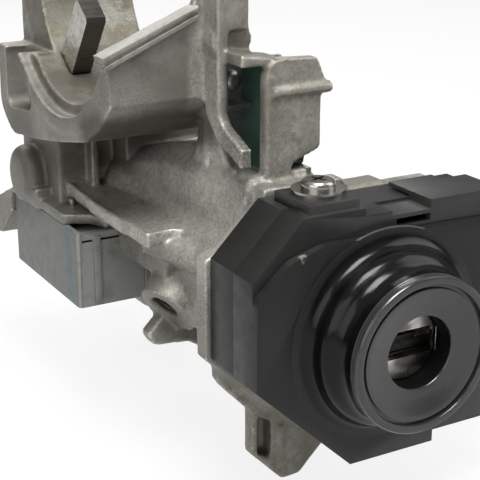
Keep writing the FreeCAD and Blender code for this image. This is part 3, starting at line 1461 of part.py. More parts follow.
def make_interlock_coil():
    body = prism_x(interlock_outline(), INTERLOCK_X[0], INTERLOCK_X[1])
    bore = rod(PLUNGER_R + RUN, (PLUNGER_X, PLUNGER_Y, FRAME_FLOOR_Z), (0, 0, 1), 20.0)
    well = rod(PLUNGER_HEAD_R + LOOSE, (PLUNGER_X, PLUNGER_Y, PLUNGER_WELL_Z[0]), (0, 0, 1),
               PLUNGER_WELL_Z[1] - PLUNGER_WELL_Z[0])
    return cut_all(body, [bore, well])


def make_interlock_frame():
    """Steel angle that holds the interlock in its cavity."""
    near_x = INTERLOCK_X[0]
    back = box((near_x - 5.8, FRAME_PLATE_Y[0], FRAME_FLOOR_Z), (INTERLOCK_X[1], FRAME_PLATE_Y[1], 54.0))
    floor_top = FRAME_FLOOR_Z + FRAME_T
    floor = box((near_x, PLATE_Y[1], FRAME_FLOOR_Z), (INTERLOCK_X[1], FRAME_PLATE_Y[1], floor_top))
    bar = box((near_x - 5.8, FRAME_PLATE_Y[0] - 5.0, 43.9), (near_x - 0.2, FRAME_PLATE_Y[0], 44.9))
    hole = rod(PLUNGER_R + LOOSE, (PLUNGER_X, PLUNGER_Y, FRAME_FLOOR_Z - OVER), (0, 0, 1), 4.0)
    return fuse(back, floor, bar).cut(hole)


def make_interlock_rivet():
    x = INTERLOCK_X[0] - 3.2
    head = rod_y(2.4, FRAME_PLATE_Y[0] - 2.6, FRAME_PLATE_Y[0], x, 49.6)
    rim = [edge for edge in head.Edges if edge.CenterOfMass.y < FRAME_PLATE_Y[0] - 2.5]
    return head.makeFillet(1.6, rim)


def make_interlock_plunger():
    pin = rod(PLUNGER_R, (PLUNGER_X, PLUNGER_Y, PLUNGER_TIP_Z), (0, 0, 1), PLUNGER_TOP_Z - PLUNGER_TIP_Z)
    head = rod(PLUNGER_HEAD_R, (PLUNGER_X, PLUNGER_Y, PLUNGER_TOP_Z - 2.0), (0, 0, 1), 2.0)
    tip = [edge for edge in pin.Edges if edge.CenterOfMass.z < PLUNGER_TIP_Z + 0.1]
    return fuse(pin.makeChamfer(0.5, tip), head)


def make_interlock_spring():
    length = PLUNGER_TOP_Z - 2.0 - PLUNGER_WELL_Z[0]
    return coil((PLUNGER_X, PLUNGER_Y, PLUNGER_WELL_Z[0]), (0, 0, 1), PLUNGER_R + 0.45, 0.5, length, 3)


def make_key_sensor_body():
    body = box((SENSOR_X[0], SENSOR_Y - SENSOR_HALF_Y + LOOSE, -SENSOR_HALF_Z + 0.1),
               (SENSOR_X[1], SENSOR_Y + SENSOR_HALF_Y, SENSOR_HALF_Z - 0.1))
    lip = box((SENSOR_X[1] - 1.5, SENSOR_Y - SENSOR_HALF_Y + LOOSE, -SENSOR_HALF_Z + 0.1),
              (SENSOR_X[1] + 3.0, SENSOR_Y, SENSOR_HALF_Z - 3.0))
    bore = rod(SENSOR_PIN_R + RUN, (SENSOR_X[0] - OVER, SENSOR_Y, 0.0), (1, 0, 0), 9.6)
    return fuse(body, lip).cut(bore)


def make_key_sensor_plunger():
    return rod(SENSOR_PIN_R, (SENSOR_PIN_X[0], SENSOR_Y, 0.0), (1, 0, 0), SENSOR_PIN_X[1] - SENSOR_PIN_X[0])


def make_key_sensor_spring():
    length = SENSOR_X[0] - OVER + 9.6 - SENSOR_PIN_X[1]
    return coil((SENSOR_PIN_X[1], SENSOR_Y, 0.0), (1, 0, 0), 0.8, 0.35, length, 3)


def make_parts():
    """Every node by name."""
    return {
        "lock_housing": make_lock_housing(),
        "front_shell": make_front_shell(),
        "rear_shell": make_rear_shell(),
        "nose_bezel": make_nose_bezel(),
        "housing_screw": make_housing_screw(),
        "screw_washer": make_screw_washer(),
        "antenna_coil": make_antenna_coil(),
        "circuit_board": make_circuit_board(),
        "socket_pins": make_socket_pins(),
        "cylinder_sleeve": make_cylinder_sleeve(),
        "cylinder_pin": make_cylinder_pin(),
        "key_plug": make_key_plug(),
        "plug_clip": make_plug_clip(),
        "wafers": make_wafers(),
        "wafer_springs": make_wafer_springs(),
        "key_shutter": make_key_shutter(),
        "shutter_spring": make_shutter_spring(),
        "tail_shaft": make_tail_shaft(),
        "lock_cam": make_lock_cam(),
        "bolt_carrier": make_bolt_carrier(),
        "lock_bolt": make_lock_bolt(),
        "bolt_spring": make_bolt_spring(),
        "mechanism_cover": make_mechanism_cover(),
        "cover_rivets": make_cover_rivets(),
        "switch_body": make_switch_body(),
        "switch_cap": make_switch_cap(),
        "switch_terminals": make_switch_terminals(),
        "switch_rotor": make_switch_rotor(),
        "switch_screws": make_switch_screws(),
        "interlock_coil": make_interlock_coil(),
        "interlock_frame": make_interlock_frame(),
        "interlock_rivet": make_interlock_rivet(),
        "interlock_plunger": make_interlock_plunger(),
        "interlock_spring": make_interlock_spring(),
        "key_sensor_body": make_key_sensor_body(),
        "key_sensor_plunger": make_key_sensor_plunger(),
        "key_sensor_spring": make_key_sensor_spring(),
    }


os.makedirs("parts", exist_ok=True)
for name, shape in make_parts().items():
    shape.exportStep("parts/" + name + ".step")
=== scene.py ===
import json
import math

import bmesh
import bpy
from mathutils import Matrix, Vector, noise


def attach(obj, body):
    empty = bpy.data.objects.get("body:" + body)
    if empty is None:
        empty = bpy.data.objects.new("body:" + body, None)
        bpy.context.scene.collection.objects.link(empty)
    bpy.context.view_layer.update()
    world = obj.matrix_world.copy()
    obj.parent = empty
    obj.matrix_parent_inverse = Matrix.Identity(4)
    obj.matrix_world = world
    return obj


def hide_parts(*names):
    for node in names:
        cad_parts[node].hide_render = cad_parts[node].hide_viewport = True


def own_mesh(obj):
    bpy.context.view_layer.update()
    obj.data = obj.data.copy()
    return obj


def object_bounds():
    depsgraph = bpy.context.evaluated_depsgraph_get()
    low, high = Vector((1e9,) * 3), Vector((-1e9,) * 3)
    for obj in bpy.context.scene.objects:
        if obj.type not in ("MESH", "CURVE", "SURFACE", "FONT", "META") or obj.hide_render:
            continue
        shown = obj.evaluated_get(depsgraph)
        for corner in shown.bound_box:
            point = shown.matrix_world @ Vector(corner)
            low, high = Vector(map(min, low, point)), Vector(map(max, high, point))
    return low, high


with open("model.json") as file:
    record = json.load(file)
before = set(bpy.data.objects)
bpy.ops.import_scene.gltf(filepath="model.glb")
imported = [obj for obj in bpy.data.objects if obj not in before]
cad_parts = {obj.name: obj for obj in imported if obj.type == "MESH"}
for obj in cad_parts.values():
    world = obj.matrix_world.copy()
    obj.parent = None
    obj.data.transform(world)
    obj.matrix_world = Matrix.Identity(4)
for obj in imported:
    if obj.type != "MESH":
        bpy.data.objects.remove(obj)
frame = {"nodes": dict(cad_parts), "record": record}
CAD_LOW, CAD_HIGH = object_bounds()
MM = 0.001

# the camera, as the photograph was taken
PHOTO_SIDE = 480
FOCAL_PIXELS = 1265.76
SENSOR = 36.0
CAMERA_PLACE = (-0.15224, -0.18991, 0.10764)
CAMERA_RIGHT = Vector((0.8696, -0.4938, 0.0))
CAMERA_UP = Vector((0.1597, 0.2811, 0.9463))
CAMERA_BACK = Vector((-0.4673, -0.8229, 0.3233))

# the casting's skin
CAST_VOXEL = 0.55 * MM
CAST_SMOOTH = 1
CAST_KEPT = 0.50
LIP_VOXEL = 0.30 * MM
CAST_WAVE = 0.10 * MM
CAST_WAVE_SIZE = 5.0 * MM
CAST_GRAIN = 0.035 * MM
CAST_GRAIN_SIZE = 1.1 * MM

# the casting's colours
CAST_COLOUR = (0.230, 0.225, 0.199)
CAST_DARK = (0.135, 0.130, 0.112)
# pale colour of the bright flecks, also the colour of the casting's painted light
CAST_FLECK_AND_PAINTED_LIGHT = (0.400, 0.392, 0.350)
CAST_PIT = (0.060, 0.055, 0.045)
CAST_RIM = (0.520, 0.515, 0.475)
# grease brown, also the colour of the casting's painted shade
CAST_GRIME_AND_SHADE = (0.040, 0.033, 0.024)
TARNISH = (0.120, 0.105, 0.070)
LIP_COLOUR = (0.230, 0.223, 0.198)

# zones of the casting: middle and reach in millimetres, and the share of its colour
ROUGH_CAST = ((-20, 40, 18), (26, 26, 26))
# painted shade with grease: zones darkened under the saddle, in recesses and down the boss's hole, where
# shade falls
CAST_SHADE_AND_GRIME_ZONES = (
    ((-30, 64, 38.5), (32, 10, 7.0), 1.0),
    ((-10, 94, 31), (18, 6, 9), 0.9),
    ((-30, 100, 46), (20, 20, 8), 0.4),
    ((-38, 112, 26), (15, 14, 14), 0.75),
    ((-30, 90, 47), (20, 22, 10), 0.5),
    ((-12, 50, 38), (5, 7, 12), 0.5),
    ((-17.4, 31, -31), (2.6, 6, 7), 0.95),
    ((-31, 60, -4.5), (3.2, 3.2, 3.2), 0.7),
)
CAST_TARNISH = (
    ((-30, 98, 66), (24, 34, 34), 0.9),
    ((2, 42, 50), (14, 16, 34), 0.75),
    ((-12, 50, 58), (9, 14, 30), 0.6),
    ((-14, 36, -28), (16, 10, 18), 0.6),
    ((-28, 104, 22), (16, 16, 14), 0.7),
)
# painted light: zones made brighter where light falls on the deck, the mound and the post
CAST_PAINTED_LIGHT_ZONES = (
    ((-22, 66, 28), (17, 24, 9), 0.95),
    ((-30, 80, 15.5), (15, 32, 5), 1.0),
    ((-23, 54, 48), (3, 7, 26), 0.7),
    ((-26, 42, 17), (13, 11, 8), 0.8),
    ((-33, 74, 21), (7, 26, 5), 0.7),
    ((-4, 40, 46), (9, 10, 30), 0.35),
)

# the black housing, with its scuffed edge and the place where its polished nose begins
BLACK = (0.006, 0.006, 0.0056)
# painted shade: the nose is given a darker black than the rest of the shell
NOSE_SHADE_BLACK = (0.0015, 0.0015, 0.0014)
SCUFF_COLOUR = (0.16, 0.155, 0.14)
SCUFF = ((-21.6, 14.6, 25.0), (1.1, 1.0, 5.5))
POLISHED_Y = (13.9, 13.5)

# the grey cover: colours, the stripe's place along the key axis, its side, and the lid under the front tab
COVER_GREY = (0.090, 0.091, 0.086)
COVER_SMEAR = (0.10, 0.098, 0.09)
STRIPE_BLUE = (0.055, 0.105, 0.130)
STRIPE_Y = (88.2, 91.4)
STRIPE_X = (-42.2, -42.35)
COVER_LID = ((-41.6, 84.0, 6.6), (-25.4, 96.0, 7.3))

# the black ring, dull and darkened as painted shade in its tube from this depth and inside this radius, and
# the key cylinder's metals
BEZEL_BLACK = (0.016, 0.016, 0.016)
# painted shade: the darker black inside the keyhole's tube
TUBE_SHADE_BLACK = (0.003, 0.003, 0.003)
TUBE_DULL_Y = (2.3, 2.6)
TUBE_DULL_R = (9.2, 8.7)
BOLT_STEEL = (0.62, 0.61, 0.55)
# painted shade on the bolt's faces that are not turned to the left
BOLT_SHADE = (0.060, 0.056, 0.048)
PLUG_METAL = (0.52, 0.51, 0.47)
PLUG_RUBBED = (0.075, 0.065, 0.055)
SLOT_WALL_STEEL = (0.75, 0.74, 0.70)
SLOT_WALL_DARK = (0.03, 0.027, 0.024)
STEEL_STAIN = (0.11, 0.08, 0.05)

# the key hole's front: where the turning face, its slot and its flap are seen
KEY_FACE_Y = 7.4
KEY_FACE_R = 8.1
KEY_FACE_EDGE = 0.25
KEY_FACE_FLAT = 0.90
KEY_FACE_STEPS = 96
KEY_SLOT = (7.3, 2.95)
KEY_STAINS = (
    ((3.0, KEY_FACE_Y, -3.6), (5.6, 3.0, 2.3), 0.25),
    ((-2.5, KEY_FACE_Y, 3.8), (4.4, 3.0, 1.6), 0.3),
)
SLOT_EDGE = (0.12, 0.02)
SLOT_EDGE_SPREAD = (1.02, 1.03)
SLOT_WALL_T = 0.3
SLOT_WALL_PROUD = 1.0
PLUG_SLOT = (7.0, 2.85)
PLUG_CAD_FACE_Y = 5.6
PLUG_CAD_SLOT = (5.85, 2.75)
PLUG_CAD_SLOT_END_Y = 12.8
SLEEVE_CAD_FRONT_Y = 5.0
TUBE_END_Y = 8.4
KEY_FACE_BURIED = 0.1
PLUG_BURIED = 0.2
FLAP_Y = (8.2, 8.65)
FLAP_HALF = 6.8
FLAP_Z = (-1.9, 2.2)
FLAP_PIN_Y = 8.0
FLAP_NOTCH = (3.0, 0.6)
FLAP_LIP = (0.35, 0.4)
FLAP_KNUCKLE = (0.45, 0.75)
FLAP_OVERLAP = 0.2

# the lip on the saddle's front wall: outlines of x and z, and the lengths they run along the key axis
LIP_UPPER = ((-47.4, 56.4), (-24.4, 66.0), (-24.4, 67.3), (-47.7, 57.9))
LIP_UPPER_Y = (52.9, 57.4)
LIP_LOWER = ((-46.8, 54.7), (-24.5, 64.2), (-24.5, 65.5), (-47.1, 55.9))
LIP_LOWER_Y = (53.1, 56.2)

# the threaded hole in the slanted boss: its mouth, its direction, and its section as radius and depth
BOSS_POINT = (-30.9, 60.0, -4.0)
BOSS_DIR = (-0.75, -0.29, -0.59)
BOSS_BORE = ((0.0, -2.0), (3.9, -2.0), (3.6, 0.0), (3.35, 0.6), (3.35, 9.0), (0.0, 9.0))
BOSS_STEPS = 40
THREAD_START = 0.8
THREAD_PITCH = 1.0
THREAD_R = (3.0, 3.55)
THREAD_TURNS = 7
THREAD_WALL = 0.3

# the nose, from the ring back to the front face, and the ring: radius and place along the key axis
NOSE_CURVE = (
    (16.9, 2.2), (16.9, 4.2), (17.0, 5.2), (17.35, 6.3), (17.95, 7.2), (18.7, 7.9), (19.35, 8.6),
    (19.8, 9.5), (20.0, 10.5), (20.1, 11.3), (20.45, 12.2), (21.1, 12.95), (22.2, 13.6), (24.0, 13.99),
)
BEZEL_CURVE = (
    (8.2, 8.4), (8.2, 2.25), (8.28, 2.1), (8.45, 2.05), (9.6, 1.82), (11.0, 1.46), (12.3, 1.1),
    (13.4, 0.78), (14.2, 0.56), (14.6, 0.5), (14.76, 0.56), (14.82, 0.75), (14.85, 1.1), (15.55, 1.1),
    (15.6, 0.3), (15.72, 0.08), (15.95, 0.0), (16.9, 0.0), (17.25, 0.1), (17.45, 0.35), (17.5, 0.6),
    (17.5, 0.85), (17.3, 0.95), (17.3, 1.05), (17.5, 1.15), (17.5, 1.5), (17.3, 1.6), (17.3, 1.7),
    (17.5, 1.8), (17.5, 2.19), (15.6, 2.19), (15.6, 4.2), (9.5, 4.2), (9.5, 8.4),
)
BEZEL_STEPS = 200
NOSE_BORE_R = 15.72
NOSE_FOOT = (24.3, 14.3)
NOSE_BACK_Y = 13.95
NOSE_STEPS = 160

# the coils that their joints press: node, joint, direction and travel
PRESSED_SPRINGS = (
    ("bolt_spring", "bolt_slide", (0.0, 0.6, -0.8), 8.0),
    ("interlock_spring", "interlock_drop", (0.0, 0.0, -1.0), 3.0),
    ("key_sensor_spring", "key_sensor_press", (1.0, 0.0, 0.0), 1.2),
)

# copied solids: how close points are joined, how near in millimetres they are matched, bevels and edge angles
WELD = 0.002 * MM
NEAR = 0.1
SAME = 0.02
SHELL_BEVEL = 0.30 * MM
SMALL_BEVEL = 0.10 * MM
WALL_BEVEL = 0.08 * MM
FLAT_ANGLE = math.radians(1.0)
SHARP_ANGLE = math.radians(28)
CREASE_ANGLE = math.radians(35)

# the floor, in metres: its half width, its gap below the part, and how far off metal still mirrors it white
FLOOR_REACH = 3.0
FLOOR_GAP = 0.4 * MM
FLOOR_COLOUR = (0.62, 0.62, 0.62)
FLOOR_WHITE = 0.85
FLOOR_MIRRORED = (0.15, 0.55)

# the sky's fill light, from the ground up: heights and strengths
SKY_FILL = (-0.1, 0.9, 0.10, 0.55)

# the soft lamps: place, size and power
LAMP_AIM = (-0.005, 0.06, 0.01)
LAMPS = (
    ("above", (-0.10, -0.16, 0.62), (0.32, 0.32), 6.6),
    ("left", (-0.75, -0.35, 0.35), (0.80, 0.60), 3.0),
    ("upper_right", (0.55, -0.20, 0.40), (0.40, 0.60), 2.0),
    ("behind", (0.05, 0.65, 0.45), (0.60, 0.30), 3.0),
)


# shader building

def new_material(name, colour, metallic, roughness):
    material = bpy.data.materials.new(name)
    material.use_nodes = True
    shader = material.node_tree.nodes["Principled BSDF"]
    shader.inputs["Base Color"].default_value = (*colour, 1)
    shader.inputs["Metallic"].default_value = metallic
    shader.inputs["Roughness"].default_value = roughness
    return material, material.node_tree, shader


def add_node(tree, kind, **settings):
    made = tree.nodes.new(kind)
    for key, value in settings.items():
        setattr(made, key, value)
    return made


def place(tree):
    return add_node(tree, "ShaderNodeTexCoord").outputs["Object"]


def stretched(tree, scale):
    mapping = add_node(tree, "ShaderNodeMapping")
    mapping.inputs["Scale"].default_value = scale
    tree.links.new(place(tree), mapping.inputs["Vector"])
    return mapping.outputs["Vector"]


def clouds(tree, size, detail=4, rough=0.6, where=None):
    texture = add_node(tree, "ShaderNodeTexNoise")
    texture.inputs["Scale"].default_value = 1 / size
    texture.inputs["Detail"].default_value = detail
    texture.inputs["Roughness"].default_value = rough
    tree.links.new(where or place(tree), texture.inputs["Vector"])
    return texture.outputs["Fac"]


def remap(tree, value, low, high, out_low=0.0, out_high=1.0):
    mapped = add_node(tree, "ShaderNodeMapRange", interpolation_type="SMOOTHSTEP")
    mapped.inputs["From Min"].default_value = low
    mapped.inputs["From Max"].default_value = high
    mapped.inputs["To Min"].default_value = out_low
    mapped.inputs["To Max"].default_value = out_high
    tree.links.new(value, mapped.inputs["Value"])
    return mapped.outputs["Result"]


def combine(tree, operation, first, second):
    made = add_node(tree, "ShaderNodeMath", operation=operation)
    for socket, value in zip(made.inputs, (first, second)):
        if isinstance(value, float):
            socket.default_value = value
        else:
            tree.links.new(value, socket)
    return made.outputs["Value"]


def product(tree, first, *others):
    value = first
    for other in others:
        value = combine(tree, "MULTIPLY", value, other)
    return value


def blend_colour(tree, factor, first, second):
    made = add_node(tree, "ShaderNodeMix", data_type="RGBA")
    sockets = (made.inputs[0], made.inputs[6], made.inputs[7])
    for socket, value in zip(sockets, (factor, first, second)):
        if isinstance(value, tuple):
            socket.default_value = (*value, 1)
        elif isinstance(value, float):
            socket.default_value = value
        else:
            tree.links.new(value, socket)
    return made.outputs[2]


def bumped(tree, shader, height, depth, strength=1.0, under=None):
    bump = add_node(tree, "ShaderNodeBump")
    bump.inputs["Strength"].default_value = strength
    bump.inputs["Distance"].default_value = depth
    tree.links.new(height, bump.inputs["Height"])
    if under is not None:
        tree.links.new(under, bump.inputs["Normal"])
    tree.links.new(bump.outputs["Normal"], shader.inputs["Normal"])
    return bump.outputs["Normal"]


def edge_wear(tree, low, high):
    pointiness = add_node(tree, "ShaderNodeNewGeometry").outputs["Pointiness"]
    return remap(tree, pointiness, low, high)


def opened(material):
    """A material's nodes, its shader and what feeds the shader's colour."""
    tree = material.node_tree
    shader = tree.nodes["Principled BSDF"]
    return tree, shader, shader.inputs["Base Color"].links[0].from_socket


def near_point(tree, middle, reach, blur=0.35):
    """One inside an ellipsoid given in millimetres, fading to zero outside, with a ragged edge."""
    mapping = add_node(tree, "ShaderNodeMapping", vector_type="POINT")
    scale = [1 / (r * MM) for r in reach]
    mapping.inputs["Scale"].default_value = scale
    mapping.inputs["Location"].default_value = [-m * MM * k for m, k in zip(middle, scale)]
    tree.links.new(place(tree), mapping.inputs["Vector"])
    ragged = product(tree, clouds(tree, 6 * MM, 4, 0.6), 0.5)
    reached = combine(tree, "ADD", vector_length(tree, mapping.outputs["Vector"]), ragged)
    return remap(tree, reached, 1.25 + blur, 1.25 - blur)


def vector_length(tree, vector):
    length = add_node(tree, "ShaderNodeVectorMath", operation="LENGTH")
    tree.links.new(vector, length.inputs[0])
    return length.outputs["Value"]


def axis_value(tree, axis):
    split = add_node(tree, "ShaderNodeSeparateXYZ")
    tree.links.new(place(tree), split.inputs["Vector"])
    return split.outputs[axis]


def between(tree, value, low, high, blur=0.15 * MM):
    rising = remap(tree, value, low - blur, low + blur)
    falling = remap(tree, value, high - blur, high + blur, 1.0, 0.0)
    return product(tree, rising, falling)


def from_key_axis(tree):
    """Distance from the key axis, in metres."""
    return vector_length(tree, stretched(tree, (1.0, 0.0, 1.0)))


def zones_painted(tree, skin, zones, texture, colour):
    """The skin with a colour laid over it in each zone, broken up by the texture."""
    for middle, reach, share in zones:
        patch = product(tree, near_point(tree, middle, reach), texture, share)
        skin = blend_colour(tree, patch, skin, colour)
    return skin


# the materials

def casting_material(name="die_casting", dark=CAST_DARK, plain=CAST_COLOUR, rim=CAST_RIM):
    """Uneven cast grey with bright flecks and edges, brown tarnish, painted light on lit zones, and old
    grease with painted shade in its hollows and shaded zones.
    """
    material, tree, shader = new_material(name, plain, 0.55, 0.5)
    patches = clouds(tree, 14 * MM, 5)
    skin = blend_colour(tree, remap(tree, patches, 0.40, 0.60), dark, plain)
    speckle = clouds(tree, 0.55 * MM, 3, 0.7)
    rough_patches = remap(tree, clouds(tree, 20 * MM, 3, 0.5), 0.5, 0.7, 0.15, 0.8)
    rough_cast = combine(tree, "MAXIMUM", near_point(tree, *ROUGH_CAST), rough_patches)
    flecks = product(tree, remap(tree, speckle, 0.46, 0.70), rough_cast, 0.75)
    skin = blend_colour(tree, flecks, skin, CAST_FLECK_AND_PAINTED_LIGHT)
    pits = clouds(tree, 1.1 * MM, 4, 0.75)
    skin = blend_colour(tree, remap(tree, pits, 0.40, 0.28, 0.0, 0.7), skin, CAST_PIT)
    rims = product(tree, edge_wear(tree, 0.525, 0.580), remap(tree, speckle, 0.35, 0.6, 0.15, 0.9))
    skin = blend_colour(tree, rims, skin, rim)
    # painted shade with grease: hollows and the shade zones are darkened towards the grease brown
    hollows = product(tree, edge_wear(tree, 0.488, 0.445), 0.7)
    stains = remap(tree, clouds(tree, 7 * MM, 6, 0.65), 0.50, 0.68, 0.0, 0.35)
    darkening = combine(tree, "MAXIMUM", hollows, stains)
    for middle, reach, share in CAST_SHADE_AND_GRIME_ZONES:
        darkening = combine(tree, "MAXIMUM", darkening, product(tree, near_point(tree, middle, reach), share))
    mottle = remap(tree, clouds(tree, 4 * MM, 6, 0.7), 0.40, 0.62)
    skin = zones_painted(tree, skin, CAST_TARNISH, mottle, TARNISH)
    # painted light: the lit zones are brightened in broken patches
    painted_light_breakup = remap(tree, clouds(tree, 0.9 * MM, 4, 0.7), 0.36, 0.60, 0.35, 1.0)
    skin = zones_painted(tree, skin, CAST_PAINTED_LIGHT_ZONES, painted_light_breakup, CAST_FLECK_AND_PAINTED_LIGHT)
    skin = blend_colour(tree, darkening, skin, CAST_GRIME_AND_SHADE)
    tree.links.new(skin, shader.inputs["Base Color"])
    tree.links.new(remap(tree, darkening, 0.0, 1.0, 0.6, 0.1), shader.inputs["Metallic"])
    tree.links.new(remap(tree, patches, 0.3, 0.7, 0.44, 0.60), shader.inputs["Roughness"])
    coarse = bumped(tree, shader, speckle, 0.12 * MM, 0.6)
    bumped(tree, shader, clouds(tree, 0.25 * MM, 2, 0.6), 0.05 * MM, 0.6, coarse)
    return material


def plastic_material(name, colour, roughness, grain=0.25 * MM, depth=0.012 * MM, dust=0.25, gloss=0.5):
    """Fine-grained plastic with a haze of dust and pale worn edges."""
    material, tree, shader = new_material(name, colour, 0.0, roughness)
    shader.inputs["Specular IOR Level"].default_value = gloss
    dusty = tuple(min(1.0, c * 1.6 + 0.01) for c in colour)
    haze = remap(tree, clouds(tree, 16 * MM, 6, 0.6), 0.45, 0.75, 0.0, dust)
    skin = blend_colour(tree, haze, colour, dusty)
    edges = product(tree, edge_wear(tree, 0.52, 0.60), 0.5)
    skin = blend_colour(tree, edges, skin, tuple(min(1.0, c * 3 + 0.02) for c in colour))
    tree.links.new(skin, shader.inputs["Base Color"])
    shades = remap(tree, clouds(tree, 3 * MM, 5, 0.6), 0.3, 0.7, roughness - 0.05, roughness + 0.07)
    tree.links.new(shades, shader.inputs["Roughness"])
    bumped(tree, shader, clouds(tree, grain, 3, 0.5), depth, 0.5)
    return material


def front_shell_material():
    """Satin black plastic, polished on the nose in front of the face, where its colour is darkened as painted
    shade.
    """
    material = plastic_material("satin_black_plastic", BLACK, 0.42, gloss=0.3)
    tree, shader, skin = opened(material)
    satin = shader.inputs["Roughness"].links[0].from_socket
    ragged = remap(tree, clouds(tree, 0.7 * MM, 4, 0.7), 0.42, 0.56)
    scuff = product(tree, near_point(tree, *SCUFF, 0.2), ragged)
    nose = remap(tree, axis_value(tree, "Y"), POLISHED_Y[0] * MM, POLISHED_Y[1] * MM)
    skin = blend_colour(tree, nose, skin, NOSE_SHADE_BLACK)
    tree.links.new(blend_colour(tree, scuff, skin, SCUFF_COLOUR), shader.inputs["Base Color"])
    tree.links.new(remap(tree, nose, 0.0, 1.0, 0.30, 0.22), shader.inputs["Specular IOR Level"])
    polish = product(tree, nose, -0.24)
    tree.links.new(combine(tree, "ADD", satin, polish), shader.inputs["Roughness"])
    return material


def cover_material():
    """Grey painted cover, with a stripe of blue paint near its front corner."""
    material = plastic_material("cover_grey", COVER_GREY, 0.5, gloss=0.35)
    tree, shader, plain = opened(material)
    along = between(tree, axis_value(tree, "Y"), STRIPE_Y[0] * MM, STRIPE_Y[1] * MM)
    side = remap(tree, axis_value(tree, "X"), STRIPE_X[0] * MM, STRIPE_X[1] * MM)
    worn = remap(tree, clouds(tree, 1.6 * MM, 5, 0.7), 0.36, 0.50)
    stripe = product(tree, along, side, worn, 0.8)
    smears = remap(tree, clouds(tree, 5 * MM, 6, 0.7), 0.48, 0.66, 0.0, 0.55)
    smeared = blend_colour(tree, smears, plain, COVER_SMEAR)
    tree.links.new(blend_colour(tree, stripe, smeared, STRIPE_BLUE), shader.inputs["Base Color"])
    return material


def steel_material(name, colour, roughness, brush=(1, 1, 1), darkening=0.3, size=1.2 * MM, depth=0.01 * MM):
    """Metal with streaks along its brushing and a few brown stains."""
    material, tree, shader = new_material(name, colour, 1.0, roughness)
    streaks = clouds(tree, size, 5, 0.65, stretched(tree, brush))
    dark = tuple(c * 0.55 for c in colour)
    skin = blend_colour(tree, remap(tree, streaks, 0.35, 0.7, 0.0, 0.5), colour, dark)
    stains = remap(tree, clouds(tree, 5 * MM, 6, 0.65), 0.48, 0.7, 0.0, darkening)
    skin = blend_colour(tree, stains, skin, STEEL_STAIN)
    tree.links.new(skin, shader.inputs["Base Color"])
    shades = remap(tree, streaks, 0.3, 0.7, roughness * 0.75, roughness * 1.3)
    tree.links.new(shades, shader.inputs["Roughness"])
    bumped(tree, shader, streaks, depth, 0.4)
    return material


def bolt_material():
    """Ground bright on its left face, with painted shade darkening the others."""
    material = steel_material("bright_bolt_steel", BOLT_STEEL, 0.28, (0.15, 1, 1), 0.35)
    tree, shader, bright = opened(material)
    facing = add_node(tree, "ShaderNodeSeparateXYZ")
    tree.links.new(add_node(tree, "ShaderNodeTexCoord").outputs["Normal"], facing.inputs["Vector"])
    # painted shade: faces that are not turned to the left are darkened
    other = remap(tree, facing.outputs["X"], -0.8, -0.6, 0.0, 0.9)
    tree.links.new(blend_colour(tree, other, bright, BOLT_SHADE), shader.inputs["Base Color"])
    return material


def bezel_material():
    """Gloss black ring, dull inside the keyhole's tube, where painted shade darkens its colour."""
    material = plastic_material("gloss_black_plastic", BEZEL_BLACK, 0.20, 0.6 * MM, 0.003 * MM, 0.15, 0.6)
    tree, shader, skin = opened(material)
    polish = shader.inputs["Roughness"].links[0].from_socket
    deep = remap(tree, axis_value(tree, "Y"), TUBE_DULL_Y[0] * MM, TUBE_DULL_Y[1] * MM)
    within = remap(tree, from_key_axis(tree), TUBE_DULL_R[0] * MM, TUBE_DULL_R[1] * MM)
    inside = product(tree, within, deep)
    tree.links.new(remap(tree, inside, 0.0, 1.0, 0.6, 0.08), shader.inputs["Specular IOR Level"])
    dull = combine(tree, "ADD", polish, product(tree, inside, 0.3))
    tree.links.new(dull, shader.inputs["Roughness"])
    tree.links.new(blend_colour(tree, inside, skin, TUBE_SHADE_BLACK), shader.inputs["Base Color"])
    return material


def plug_material():
    """Worn plug face: bright round its rim, dark where keys have rubbed round the slot."""
    material = steel_material("plug_metal", PLUG_METAL, 0.30, (1, 0.2, 1), 0.12, 2.5 * MM)
    tree, shader, bright = opened(material)
    stains = [near_point(tree, *stain) for stain in KEY_STAINS]
    rubbed = product(tree, combine(tree, "MAXIMUM", *stains), 0.85)
    skin = blend_colour(tree, rubbed, bright, PLUG_RUBBED)
    tree.links.new(skin, shader.inputs["Base Color"])
    return material


def slot_wall_material():
    """Thin sheet, bright on its front edge and dark on its sides."""
    material = steel_material("slot_wall_steel", SLOT_WALL_STEEL, 0.35, darkening=0.1)
    tree, shader, bright = opened(material)
    front = KEY_FACE_Y - SLOT_WALL_PROUD
    depth = remap(tree, axis_value(tree, "Y"), (front + 0.07) * MM, (front + 0.2) * MM)
    tree.links.new(blend_colour(tree, depth, bright, SLOT_WALL_DARK), shader.inputs["Base Color"])
    return material


def board_material():
    """Green board with a faint weave."""
    material, tree, shader = new_material("circuit_board", (0.02, 0.11, 0.05), 0.0, 0.4)
    weave = add_node(tree, "ShaderNodeTexVoronoi")
    weave.inputs["Scale"].default_value = 1 / (0.8 * MM)
    tree.links.new(place(tree), weave.inputs["Vector"])
    skin = blend_colour(tree, weave.outputs["Distance"], (0.015, 0.09, 0.04), (0.03, 0.15, 0.07))
    tree.links.new(skin, shader.inputs["Base Color"])
    bumped(tree, shader, weave.outputs["Distance"], 0.01 * MM, 0.3)
    return material


